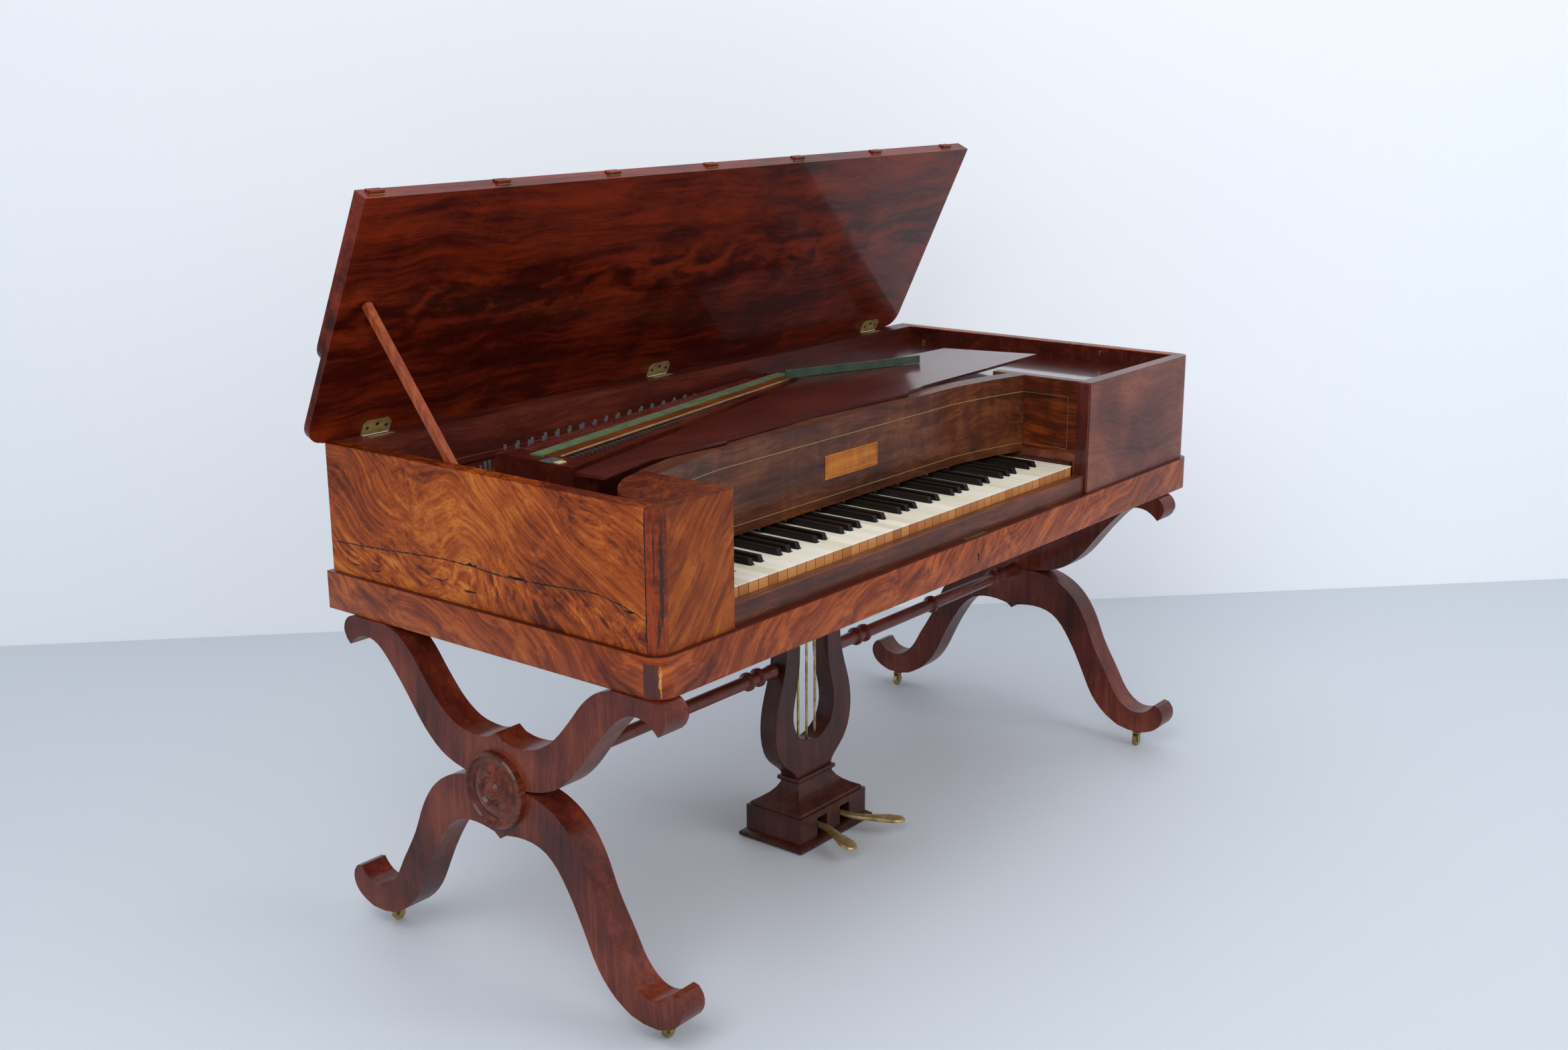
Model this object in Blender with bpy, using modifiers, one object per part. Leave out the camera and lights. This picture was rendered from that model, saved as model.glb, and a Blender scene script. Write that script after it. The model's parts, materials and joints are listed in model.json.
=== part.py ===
"""Square fortepiano on two X-shaped end frames, with a pedal lyre, a propped lid and a folded lid flap.

Metres, +Z up. X runs to the player's right and Y runs away from the player.
Plan positions are measured from the left front corner of the case, and heights from the floor.
"""
import math

import bmesh
import bpy
from mathutils import Matrix, Vector

# The frame's origin, on the floor below the middle of the whole piano
ORIGIN_X = 0.7778
ORIGIN_Y = 0.3364

# Clearance kept between neighbouring solids
GAP = 0.0003
# Clearance under a piece that rests on a curved or leaning one
REST_GAP = 0.0008

# Case
CASE_LENGTH = 1.585
CASE_DEPTH = 0.701
RIM_TOP = 0.8087
BODY_BOTTOM = 0.6005
SIDE_THICKNESS = 0.0255
BACK_THICKNESS = 0.040
CORNER_RADIUS = 0.0213
LEFT_CHEEK = 0.1618
LEFT_CHEEK_END = ((LEFT_CHEEK, 0.1780), (0.1400, 0.1700), (0.1160, 0.1640), (0.0880, 0.1490),
                  (0.0580, 0.1250), (0.0360, 0.0980), (SIDE_THICKNESS + GAP, 0.0700))
RIGHT_CHEEK = 1.184
RIGHT_CHEEK_BACK = 0.2120
FRONT_BOARD = 0.0255
SIDE_PANEL = 0.020

# Plinth below the case
PLINTH_PROUD = 0.008
PLINTH_BOTTOM = 0.538
PLINTH_THICKNESS = 0.030
PLINTH_BEAD = 0.0055
FLOOR_BOARD = 0.018
LOCK_LENGTH = 0.062
LOCK_CENTRE = 0.803
LOCK_THICKNESS = 0.0016
LOCK_BACK = 0.0179

# Nameboard between the cheeks, straight in the middle and swept forward at both ends
NAMEBOARD_FRONT = 0.177
NAMEBOARD_BOTTOM = 0.663
NAMEBOARD_THICKNESS = 0.016
SWEEP_DEPTH = 0.035
SWEEP_LENGTH = 0.200
SWEEP_POWER = 1.5
LEDGE_WIDTH = 0.036
LEDGE_THICKNESS = 0.006
PLAQUE = (0.608, 0.757, 0.709, 0.750)
PLAQUE_THICKNESS = 0.0010

# Keyboard: 43 naturals and 30 sharps, F to F over six octaves
NATURAL_PITCH = 0.0230
NATURALS = 43
NATURAL_NAMES = "FGABCDE"
SHARP_AFTER = "FGACD"
KEYS_LEFT = 0.1822
KEY_FRONT = 0.0280
KEY_REAR = 0.3300
KEY_TOP = 0.6510
KEY_BOTTOM = 0.6290
KEY_GAP = 0.0008
HEAD_LENGTH = 0.0480
HEAD_GAP = 0.0018
SHARP_WIDTH = 0.0105
SHARP_BODY = 0.0125
SHARP_HEIGHT = 0.0095
SHARP_SLOPE = 0.0050
SHARP_REAR = 0.1900
FIRST_FREE_KEY = 18
FREE_NATURALS = 7
GROOVE_DEPTH = 0.0030
BALANCE_LINE = 0.2000
BALANCE_RAIL = 0.0080
SLIP_FRONT = 0.0060
SLIP_BACK = 0.0262
SLIP_TOP = 0.6335

# Key frame: its rails as (front, back), and the blocks beside the keys
KEY_FRAME_SLAB = 0.020
FRONT_RAIL = (0.0320, 0.0600)
MIDDLE_RAIL = (0.1700, 0.2300)
BACK_RAIL = (0.3000, 0.3350)
RAIL_DROP = 0.0110
KEY_REST = 0.0005
END_BLOCK = (0.0330, 0.1390, 0.6560)

# Works inside the case
WREST_FRONT = 0.5270
WREST_BEND = 0.2330
WREST_END = (1.0300, 0.6300)
WREST_TOP = 0.735
WREST_BOTTOM = 0.680
PIN_RADIUS = 0.0024
PIN_TOP = 0.770
PINS_PER_ROW = 16
PIN_FIRST = (0.2430, 0.5535)
PIN_STEP = 0.0335
PIN_SLOPE = 0.110
ROW_OFFSET = (0.0168, -0.0090)
DAMPER_PLAN = ((0.1850, 0.3400), (1.0150, 0.5450), (1.0350, 0.6200), (0.2300, 0.4970), (0.2250, 0.5200),
               (0.1850, 0.5150))
DAMPER_TOP = 0.785
DAMPER_BOTTOM = 0.668
STANDARDS = ((0.1900, 0.2200, 0.3450, 0.5000), (0.9900, 1.0100, 0.5450, 0.6000))
CLOTH_START = (0.207, 0.4430)
CLOTH_END = (1.014, 0.5890)
CLOTH_WIDTH = 0.025
CLOTH_THICKNESS = 0.003
SLOT_PLAN = ((0.232, 0.3720), (0.840, 0.5137), (0.840, 0.5171), (0.232, 0.4070))
SLOT_DEPTH = 0.022
PANEL_TOP = 0.776
PANEL_THICKNESS = 0.010
PANEL_STEP = (1.045, 0.2350)
COVER_PLAN = ((0.070, 0.164), (0.215, 0.204), (0.372, 0.190), (0.384, 0.199), (0.624, 0.211), (0.876, 0.194),
              (0.890, 0.206), (0.932, 0.209), (0.955, 0.216), (1.192, 0.224), (1.382, 0.234), (1.420, 0.480),
              (0.990, 0.512), (0.783, 0.440), (0.291, 0.291), (0.083, 0.233))
COVER_THICKNESS = 0.005
COVER_HIGH_LINE = 0.190
COVER_HIGH = 0.8158
COVER_FALL = 0.070
BAR_START = (0.955, 0.535)
BAR_END = (1.205, 0.397)
BAR_HEIGHT = 0.0150
BAR_THICKNESS = 0.008

# Bracket under the cover's bass end: its edges as (depth, distance below the cover)
BRACKET_SIDES = (0.104, 0.112)
BRACKET_FRONT = ((0.2060, 0.000), (0.2090, 0.014), (0.2125, 0.030), (0.2105, 0.050))
BRACKET_BACK = ((0.2340, 0.050), (0.2315, 0.030), (0.2350, 0.014), (0.2380, 0.000))

# Lid, hinged along the back, and its flap, folded over on the lid's outer face
LID_LEFT = -0.0375
LID_RIGHT = 1.5515
LID_DEPTH = 0.430
FLAP_DEPTH = 0.294
LID_THICKNESS = 0.0131
LID_CORNER = 0.032
LID_AXIS = (0.7012, RIM_TOP + 0.0005)
LID_LIFT = 0.0002
LID_SETBACK = 0.0004
LID_OPEN = math.radians(64.6)
LID_HINGES = (0.0978, 0.7698, 1.4503)
LID_HINGE_LENGTH = 0.058
LEAF_DEPTH = 0.026
LEAF_CHAMFER = 0.008
LEAF_THICKNESS = 0.0012
KNUCKLE_RADIUS = 0.0020
HINGE_SEAT = 0.0020
HINGE_ROOM = 0.0006
FLAP_HINGES = 7
FLAP_HINGE_FIRST = -0.008
FLAP_HINGE_LAST = 1.487
FLAP_HINGE_LENGTH = 0.028
FLAP_KNUCKLE_RADIUS = 0.0025
PROP_PIVOT = (0.0362, 0.430, 0.783)
PROP_TIP = (0.0098, 0.5903, 1.0356)
PROP_WIDTH = 0.012
PROP_TAIL = 0.009

# Stand: two X frames with scrolled ends, each an upper and a lower piece
FRAME_THICKNESS = 0.050
FRAME_LEFT = -0.012
FRAME_RIGHT = 1.466
FRAME_CENTRE = 0.325
WAIST = 0.3340
FOOT_CLEARANCE = 0.0330
ROSETTE_RADIUS = 0.061
ROSETTE_HEIGHT = 0.326
STRETCHER_Y = 0.322
STRETCHER_Z = 0.330
STRETCHER_RADIUS = 0.0120
RING_RADIUS = 0.0172
LEFT_RINGS = (0.090, 0.117, 0.575, 0.604)
RIGHT_RINGS = (0.895, 0.922, 1.151, 1.381, 1.409)

# Half outlines of the frames, as (distance from the middle, height)
SADDLE_CUSP = 0.4165
SADDLE = ((0.014, 0.4070), (0.040, 0.4030), (0.075, 0.4065), (0.102, 0.4180), (0.128, 0.4380),
          (0.156, 0.4690), (0.185, 0.5045), (0.212, 0.5265), (0.241, PLINTH_BOTTOM - GAP))
SCROLL_CENTRE = (0.3185, 0.5110)
SCROLL_RADIUS = 0.0265
SCROLL_TIP = ((0.3390, 0.4960), (0.3310, 0.4885))
BELLY = ((0.3230, 0.4960), (0.3070, 0.5060), (0.2840, 0.5090), (0.2620, 0.5010), (0.2430, 0.4850),
         (0.2220, 0.4620), (0.2050, 0.4420), (0.1880, 0.4200), (0.1700, 0.3970), (0.1500, 0.3760),
         (0.1250, 0.3570), (0.0950, 0.3445), (0.0560, 0.3365), (0.0300, WAIST + GAP))
SHOULDER = ((0.052, WAIST), (0.080, 0.3305), (0.106, 0.3220), (0.131, 0.3080), (0.153, 0.2880),
            (0.170, 0.2640), (0.183, 0.2390), (0.198, 0.2030), (0.217, 0.1690), (0.234, 0.1410),
            (0.248, 0.1150), (0.264, 0.0945), (0.284, 0.0800), (0.304, 0.0755), (0.324, 0.0800),
            (0.337, 0.0900), (0.344, 0.0985))
FOOT = ((0.3540, 0.0965), (0.3630, 0.0850), (0.3645, 0.0690), (0.3565, 0.0530), (0.3400, 0.0410),
        (0.3180, FOOT_CLEARANCE + 0.0002))
SOLE_INNER = 0.2900
ARCH = ((0.2650, 0.0380), (0.2360, 0.0540), (0.2100, 0.0780), (0.1920, 0.1050), (0.1765, 0.1370),
        (0.1605, 0.1690), (0.1425, 0.2000), (0.1225, 0.2280), (0.0990, 0.2480), (0.0700, 0.2570),
        (0.0380, 0.2570), (0.0120, 0.2525))
ARCH_CUSP = 0.2440

# A rosette's profile, as (share of its radius, height above the frame)
ROSETTE = ((0.00, 0.0000), (1.00, 0.0000), (1.00, 0.0100), (0.96, 0.0130), (0.90, 0.0130), (0.86, 0.0095),
           (0.74, 0.0080), (0.62, 0.0110), (0.50, 0.0150), (0.40, 0.0150), (0.34, 0.0110), (0.27, 0.0120),
           (0.20, 0.0170), (0.12, 0.0200), (0.00, 0.0210))

# Lyre and pedals
LYRE_X = 0.7365
LYRE_Y = 0.316
LYRE_THICKNESS = 0.036
ROD_RADIUS = 0.0026
ROD_SPACING = 0.025
ROD_FOOT = 0.0350
ROD_HEAD = 0.5480
PEDAL_ROOT = 0.034
PEDAL_AXIS = (0.275, 0.030)
SLOT_HALF_WIDTH = 0.0145

# Lyre outline and its opening, as (height, half width)
LYRE_SIDE = ((0.1050, 0.0485), (0.1230, 0.0540), (0.1360, 0.0680), (0.1530, 0.0880), (0.1750, 0.1030),
             (0.2050, 0.1110), (0.2350, 0.1115), (0.2650, 0.1060), (0.2950, 0.0960), (0.3250, 0.0860),
             (0.3550, 0.0800), (0.4000, 0.0780), (0.4600, 0.0800), (0.5377, 0.0880))
LYRE_OPENING = ((0.1760, 0.0000), (0.1790, 0.0160), (0.1880, 0.0350), (0.2040, 0.0520), (0.2320, 0.0610),
                (0.2620, 0.0580), (0.2980, 0.0485), (0.3340, 0.0425), (0.4000, 0.0410), (0.4700, 0.0440),
                (0.5200, 0.0480))

# Lyre's foot with its pedal box, as (height, half length, half depth)
LYRE_FOOT = ((0.0020, 0.1090, 0.0730), (0.0080, 0.1090, 0.0730), (0.0140, 0.1010, 0.0650),
             (0.0142, 0.0990, 0.0630), (0.0620, 0.0990, 0.0630), (0.0622, 0.0940, 0.0580),
             (0.0670, 0.0930, 0.0570), (0.0740, 0.0790, 0.0450), (0.0820, 0.0670, 0.0345),
             (0.0910, 0.0575, 0.0265), (0.1010, 0.0510, 0.0210), (0.1060, 0.0500, 0.0200),
             (0.1068, 0.0545, 0.0240), (0.1110, 0.0560, 0.0255), (0.1150, 0.0545, 0.0240),
             (0.1160, 0.0480, 0.0180))
PEDAL_SLOT = (0.0145, 0.0500)

# A pedal, as (depth, drift outward, height, half width, half thickness)
PEDAL = ((0.330, -0.006, 0.0300, 0.0070, 0.0040), (0.295, -0.005, 0.0300, 0.0075, 0.0042),
         (0.260, 0.000, 0.0300, 0.0080, 0.0045), (0.238, 0.003, 0.0295, 0.0085, 0.0050),
         (0.218, 0.011, 0.0290, 0.0095, 0.0055), (0.198, 0.022, 0.0290, 0.0125, 0.0060),
         (0.180, 0.031, 0.0295, 0.0160, 0.0062), (0.164, 0.037, 0.0300, 0.0165, 0.0058),
         (0.153, 0.040, 0.0300, 0.0120, 0.0045), (0.147, 0.041, 0.0300, 0.0045, 0.0020))
PEDAL_SIDES = 10

# Casters
CASTER_OUT = 0.303
WHEEL_RADIUS = 0.0115
WHEEL_WIDTH = 0.0080
WHEEL_SIDES = 28
CASTER_TRAIL = 0.0130
AXLE_RADIUS = 0.0020
SWIVEL_RADIUS = 0.0105
SWIVEL_BOTTOM = 0.0265
BRIDGE = (0.0250, 0.0285)
BRIDGE_HALF = 0.0072
FORK_HALF = 0.0045
FORK_BOTTOM = 0.0075
FORK_TOP = 0.0270


def clear_scene():
    """Removes every object that the scene holds."""
    for item in list(bpy.data.objects):
        bpy.data.objects.remove(item, do_unlink=True)


def new_collection(name):
    """Makes a collection in the scene."""
    collection = bpy.data.collections.new(name)
    bpy.context.scene.collection.children.link(collection)
    return collection


def material(name, colour, roughness, metallic=0.0):
    """A Principled material from a linear colour."""
    made = bpy.data.materials.new(name)
    made.use_nodes = True
    shader = made.node_tree.nodes["Principled BSDF"]
    shader.inputs["Base Color"].default_value = (*colour, 1.0)
    shader.inputs["Roughness"].default_value = roughness
    shader.inputs["Metallic"].default_value = metallic
    made.diffuse_color = (*colour, 1.0)
    return made


def place(x, y, z):
    """A point of the case plan in the frame's coordinates."""
    return Vector((x - ORIGIN_X, y - ORIGIN_Y, z))


def add_object(name, mesh, look):
    """Puts a mesh into the piano's collection with its material."""
    made = bpy.data.objects.new(name, mesh)
    mesh.materials.clear()
    mesh.materials.append(look)
    PIANO.objects.link(made)
    return made


def box_mesh(name, low, high):
    """A box between two corners given in case coordinates."""
    low_corner = place(*low)
    high_corner = place(*high)
    shape = bmesh.new()
    bmesh.ops.create_cube(shape, size=1.0)
    size = high_corner - low_corner
    bmesh.ops.scale(shape, vec=size, verts=shape.verts)
    bmesh.ops.translate(shape, vec=(low_corner + high_corner) / 2, verts=shape.verts)
    mesh = bpy.data.meshes.new(name)
    shape.to_mesh(mesh)
    shape.free()
    return mesh


def box(name, low, high, look):
    """A box-shaped piece."""
    return add_object(name, box_mesh(name, low, high), look)


def cylinder_mesh(name, radius, length, sides=24):
    """A cylinder along Z about the origin."""
    shape = bmesh.new()
    bmesh.ops.create_cone(shape, cap_ends=True, segments=sides, radius1=radius, radius2=radius, depth=length)
    mesh = bpy.data.meshes.new(name)
    shape.to_mesh(mesh)
    shape.free()
    return mesh


def cylinder(name, centre, radius, length, look, axis="Z", sides=24, turn=0.0):
    """A cylinder about a centre in case coordinates, turned about its own axis by an angle."""
    mesh = cylinder_mesh(name, radius, length, sides)
    mesh.transform(Matrix.Rotation(turn, 4, "Z"))
    turns = {"X": Matrix.Rotation(math.radians(90), 4, "Y"), "Y": Matrix.Rotation(math.radians(90), 4, "X"),
             "Z": Matrix.Identity(4)}
    mesh.transform(Matrix.Translation(place(*centre)) @ turns[axis])
    return add_object(name, mesh, look)


def bake(item):
    """Replaces an object's modifiers and placement by the mesh that they make."""
    bpy.context.view_layer.update()
    evaluated = item.evaluated_get(bpy.context.evaluated_depsgraph_get())
    mesh = bpy.data.meshes.new_from_object(evaluated)
    mesh.transform(item.matrix_world)
    shape = bmesh.new()
    shape.from_mesh(mesh)
    bmesh.ops.remove_doubles(shape, verts=shape.verts, dist=0.00001)
    shape.to_mesh(mesh)
    shape.free()
    look = item.active_material
    name = item.name
    bpy.data.objects.remove(item, do_unlink=True)
    return add_object(name, mesh, look)


def flat_outline(name, points, thickness, look, holes=()):
    """A flat piece in the local XY plane, centred on it, from an outline and its holes."""
    curve = bpy.data.curves.new(name, "CURVE")
    curve.dimensions = "2D"
    curve.fill_mode = "BOTH"
    curve.extrude = thickness / 2
    for ring in (points, *holes):
        spline = curve.splines.new("POLY")
        spline.points.add(len(ring) - 1)
        for knot, (u, v) in zip(spline.points, ring):
            knot.co = (u, v, 0.0, 1.0)
        spline.use_cyclic_u = True
    made = bpy.data.objects.new(name, curve)
    PIANO.objects.link(made)
    curve.materials.append(look)
    return made


def plan_piece(name, points, bottom, top, look, holes=()):
    """A piece with a plan outline in case coordinates, from one height to another."""
    made = flat_outline(name, points, top - bottom, look, holes)
    made.location = place(0.0, 0.0, (bottom + top) / 2)
    return bake(made)


def side_piece(name, points, left, right, look, holes=()):
    """A piece with an outline of depth and height, from one X to another."""
    made = flat_outline(name, points, right - left, look, holes)
    made.matrix_world = Matrix.Translation(place((left + right) / 2, 0.0, 0.0)) @ Matrix(
        ((0, 0, 1, 0), (1, 0, 0, 0), (0, 1, 0, 0), (0, 0, 0, 1)))
    return bake(made)


def front_piece(name, points, front, back, look, holes=()):
    """A piece with an outline of width and height, from one Y to another."""
    made = flat_outline(name, points, back - front, look, holes)
    made.matrix_world = Matrix.Translation(place(0.0, (front + back) / 2, 0.0)) @ Matrix(
        ((1, 0, 0, 0), (0, 0, -1, 0), (0, 1, 0, 0), (0, 0, 0, 1)))
    return bake(made)


def turned(name, profile, placement, look, steps=24):
    """A turned piece from (radius, distance) pairs along its axis, then placed by a matrix."""
    mesh = bpy.data.meshes.new(name)
    mesh.from_pydata([(radius, 0.0, along) for radius, along in reversed(profile)],
                     [(i, i + 1) for i in range(len(profile) - 1)], [])
    made = add_object(name, mesh, look)
    screw = made.modifiers.new("Turn", "SCREW")
    screw.axis = "Z"
    screw.steps = steps
    screw.render_steps = steps
    screw.use_merge_vertices = True
    screw.merge_threshold = 0.00001
    made.matrix_world = placement
    return bake(made)


def bevel(item, width, segments=1, limit=40):
    """Rounds a piece's sharp edges."""
    rounding = item.modifiers.new("Bevel", "BEVEL")
    rounding.width = width
    rounding.segments = segments
    rounding.limit_method = "ANGLE"
    rounding.angle_limit = math.radians(limit)
    return item


def combine(item, other, operation):
    """Cuts or joins one piece with another, which is then removed."""
    change = item.modifiers.new(operation.title(), "BOOLEAN")
    change.operation = operation
    change.solver = "EXACT"
    change.object = other
    name = item.name
    look = item.active_material
    made = bake(item)
    made.name = name
    made.active_material = look
    bpy.data.objects.remove(other, do_unlink=True)
    return made


def joined_mesh(items):
    """One cutter or adder made of several separate pieces."""
    shape = bmesh.new()
    for item in items:
        item_mesh = item.data.copy()
        item_mesh.transform(item.matrix_world)
        shape.from_mesh(item_mesh)
        bpy.data.meshes.remove(item_mesh)
    mesh = bpy.data.meshes.new("tools")
    shape.to_mesh(mesh)
    shape.free()
    look = items[0].active_material
    for item in items:
        bpy.data.objects.remove(item, do_unlink=True)
    return add_object("tools", mesh, look)


def loft_mesh(name, rings):
    """A closed solid through rings of equally many points, listed counter-clockwise seen from the end."""
    shape = bmesh.new()
    rows = [[shape.verts.new(point) for point in ring] for ring in rings]
    count = len(rows[0])
    for low, high in zip(rows, rows[1:]):
        for i in range(count):
            shape.faces.new((low[i], low[(i + 1) % count], high[(i + 1) % count], high[i]))
    shape.faces.new(list(reversed(rows[0])))
    shape.faces.new(rows[-1])
    bmesh.ops.recalc_face_normals(shape, faces=shape.faces)
    mesh = bpy.data.meshes.new(name)
    shape.to_mesh(mesh)
    shape.free()
    return mesh


def arc(centre, radius, start, end, steps):
    """Points on a circle between two angles in degrees."""
    turns = [math.radians(start + (end - start) * i / steps) for i in range(steps + 1)]
    return [(centre[0] + radius * math.cos(t), centre[1] + radius * math.sin(t)) for t in turns]


def smooth(points, steps=3, closed=False):
    """A smooth curve through the points (Catmull-Rom), with some points between each two."""
    count = len(points)
    made = []
    for i in range(count if closed else count - 1):
        before = points[(i - 1) % count] if closed or i > 0 else points[0]
        here = points[i]
        after = points[(i + 1) % count]
        beyond = points[(i + 2) % count] if closed or i + 2 < count else points[-1]
        for step in range(steps):
            t = step / steps
            made.append(tuple(
                0.5 * (2 * here[k] + (after[k] - before[k]) * t
                       + (2 * before[k] - 5 * here[k] + 4 * after[k] - beyond[k]) * t ** 2
                       + (3 * here[k] - before[k] - 3 * after[k] + beyond[k]) * t ** 3)
                for k in range(len(here))))
    if not closed:
        made.append(points[-1])
    return made


def sweep(x):
    """Y of the nameboard's front face at a place along it."""
    end_distance = min(x - LEFT_CHEEK, RIGHT_CHEEK - x)
    if end_distance >= SWEEP_LENGTH:
        return NAMEBOARD_FRONT
    return NAMEBOARD_FRONT - SWEEP_DEPTH * (1 - max(end_distance, 0.0) / SWEEP_LENGTH) ** SWEEP_POWER


def nameboard_stations():
    """X places along the nameboard: close together on the swept ends."""
    left = LEFT_CHEEK + 2 * GAP
    right = RIGHT_CHEEK - 2 * GAP
    ends = [SWEEP_LENGTH * i / 8 for i in range(9)]
    return [left + d for d in ends] + [right - d for d in reversed(ends)]


def make_plinth():
    """The plinth band with its bead, closed below by the bottom board."""
    radius = CORNER_RADIUS + PLINTH_PROUD
    right = CASE_LENGTH - CORNER_RADIUS
    back = CASE_DEPTH + PLINTH_PROUD
    outline = (arc((CORNER_RADIUS, CORNER_RADIUS), radius, 180, 270, 8)
               + arc((right, CORNER_RADIUS), radius, 270, 360, 8)
               + [(CASE_LENGTH + PLINTH_PROUD, back), (-PLINTH_PROUD, back)])
    band = plan_piece("plinth_band", outline, PLINTH_BOTTOM, BODY_BOTTOM - GAP, WOOD)
    band = bake(bevel(band, PLINTH_BEAD, 3))
    inner = box("tools", (PLINTH_THICKNESS, PLINTH_THICKNESS, PLINTH_BOTTOM + FLOOR_BOARD),
                (CASE_LENGTH - PLINTH_THICKNESS, CASE_DEPTH - PLINTH_THICKNESS, BODY_BOTTOM + 0.02), WOOD)
    band = combine(band, inner, "DIFFERENCE")
    holes = [cylinder("tools", (LYRE_X + side * ROD_SPACING, LYRE_Y, PLINTH_BOTTOM + FLOOR_BOARD / 2),
                      ROD_RADIUS + 0.0015, FLOOR_BOARD * 1.5, WOOD, sides=12) for side in (-1, 1)]
    band = combine(band, joined_mesh(holes), "DIFFERENCE")
    lock_left = LOCK_CENTRE - LOCK_LENGTH / 2
    lock_right = LOCK_CENTRE + LOCK_LENGTH / 2
    lock_front = PLINTH_BEAD - PLINTH_PROUD + 2 * GAP
    lock_low = BODY_BOTTOM - LOCK_THICKNESS - GAP
    mortise = box("tools", (lock_left - GAP, lock_front - GAP, lock_low - GAP),
                  (lock_right + GAP, LOCK_BACK + GAP, BODY_BOTTOM + 0.01), WOOD)
    combine(band, mortise, "DIFFERENCE")
    box("lock_plate", (lock_left, lock_front, lock_low), (lock_right, LOCK_BACK, BODY_BOTTOM - GAP), BRASS)


def make_case_walls():
    """The two sides and the back of the case, with shallow seats for the lid's hinges."""
    front = CORNER_RADIUS + GAP
    right = CASE_LENGTH - SIDE_THICKNESS
    box("case_side_left", (0.0, front, BODY_BOTTOM), (SIDE_THICKNESS, CASE_DEPTH, RIM_TOP), VENEER)
    box("case_side_right", (right, front, BODY_BOTTOM), (CASE_LENGTH, CASE_DEPTH, RIM_TOP), VENEER)
    back = box("case_back", (SIDE_THICKNESS + GAP, CASE_DEPTH - BACK_THICKNESS, BODY_BOTTOM),
               (right - GAP, CASE_DEPTH, RIM_TOP), WOOD)
    seat_half = LID_HINGE_LENGTH / 2 + HINGE_ROOM
    seats = [box("tools", (x - seat_half, LID_AXIS[0] - LEAF_DEPTH - HINGE_ROOM, RIM_TOP - HINGE_SEAT),
                 (x + seat_half, CASE_DEPTH + 0.01, RIM_TOP + 0.01), WOOD) for x in LID_HINGES]
    combine(back, joined_mesh(seats), "DIFFERENCE")


def make_left_cheek():
    """The bass cheek: a block with a rounded front corner and a rounded inner end."""
    corner = arc((CORNER_RADIUS, CORNER_RADIUS), CORNER_RADIUS, 180, 270, 8)
    inner_end = smooth(LEFT_CHEEK_END, 2)
    plan = corner + [(LEFT_CHEEK, 0.0)] + inner_end + [(SIDE_THICKNESS + GAP, CORNER_RADIUS)]
    plan_piece("cheek_left", plan, BODY_BOTTOM, RIM_TOP, VENEER)


def make_right_cheek():
    """The treble cheek: a front board with a rounded corner and the key-well's side panel."""
    corner = arc((CASE_LENGTH - CORNER_RADIUS, CORNER_RADIUS), CORNER_RADIUS, 270, 360, 8)
    side = CASE_LENGTH - SIDE_THICKNESS - GAP
    plan = [(RIGHT_CHEEK, 0.0)] + corner + [
        (side, CORNER_RADIUS), (side, FRONT_BOARD), (RIGHT_CHEEK + SIDE_PANEL, FRONT_BOARD),
        (RIGHT_CHEEK + SIDE_PANEL, RIGHT_CHEEK_BACK), (RIGHT_CHEEK, RIGHT_CHEEK_BACK)]
    plan_piece("cheek_right", plan, BODY_BOTTOM, RIM_TOP, VENEER)


def make_nameboard():
    """The swept nameboard with its wider top ledge, and the blank plaque on its face."""
    stations = nameboard_stations()
    front = [(x, sweep(x)) for x in stations]
    back = [(x, sweep(x) + NAMEBOARD_THICKNESS) for x in reversed(stations)]
    board = plan_piece("nameboard", front + back, NAMEBOARD_BOTTOM, RIM_TOP, DARK_WOOD)
    rear = [(x, sweep(x) + LEDGE_WIDTH) for x in reversed(stations)]
    ledge_plan = [(x, y + 0.002) for x, y in front] + rear
    ledge = plan_piece("tools", ledge_plan, RIM_TOP - LEDGE_THICKNESS, RIM_TOP, DARK_WOOD)
    combine(board, ledge, "UNION")
    left, right, bottom, top = PLAQUE
    box("name_plaque", (left, NAMEBOARD_FRONT - GAP - PLAQUE_THICKNESS, bottom),
        (right, NAMEBOARD_FRONT - GAP, top), SATINWOOD)


def make_key_frame():
    """The key frame under the keys: a slab with front, balance and back rails, and a block at each end."""
    left = LEFT_CHEEK + GAP
    right = RIGHT_CHEEK - GAP
    low = PLINTH_BOTTOM + FLOOR_BOARD + GAP
    slab = low + KEY_FRAME_SLAB
    rest = KEY_BOTTOM - KEY_REST
    rail_top = KEY_BOTTOM - RAIL_DROP
    front_near, front_far = FRONT_RAIL
    middle_near, middle_far = MIDDLE_RAIL
    back_near, back_far = BACK_RAIL
    pivot_near = BALANCE_LINE - BALANCE_RAIL / 2
    pivot_far = BALANCE_LINE + BALANCE_RAIL / 2
    outline = [(front_near, low), (back_far, low), (back_far, rest), (back_near, rest), (back_near, slab),
               (middle_far, slab), (middle_far, rail_top), (pivot_far, rail_top), (pivot_far, rest),
               (pivot_near, rest), (pivot_near, rail_top), (middle_near, rail_top), (middle_near, slab),
               (front_far, slab), (front_far, rail_top), (front_near, rail_top)]
    frame = side_piece("key_frame", outline, left, right, PALE_WOOD)
    keys_right = KEYS_LEFT + NATURALS * NATURAL_PITCH
    block_front, block_back, block_top = END_BLOCK
    for start, end in ((left + 0.0001, KEYS_LEFT - 0.0010), (keys_right + 0.0010, right - 0.0001)):
        block = box("tools", (start, block_front, low + KEY_FRAME_SLAB / 2), (end, block_back, block_top),
                    PALE_WOOD)
        frame = combine(frame, block, "UNION")


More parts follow.
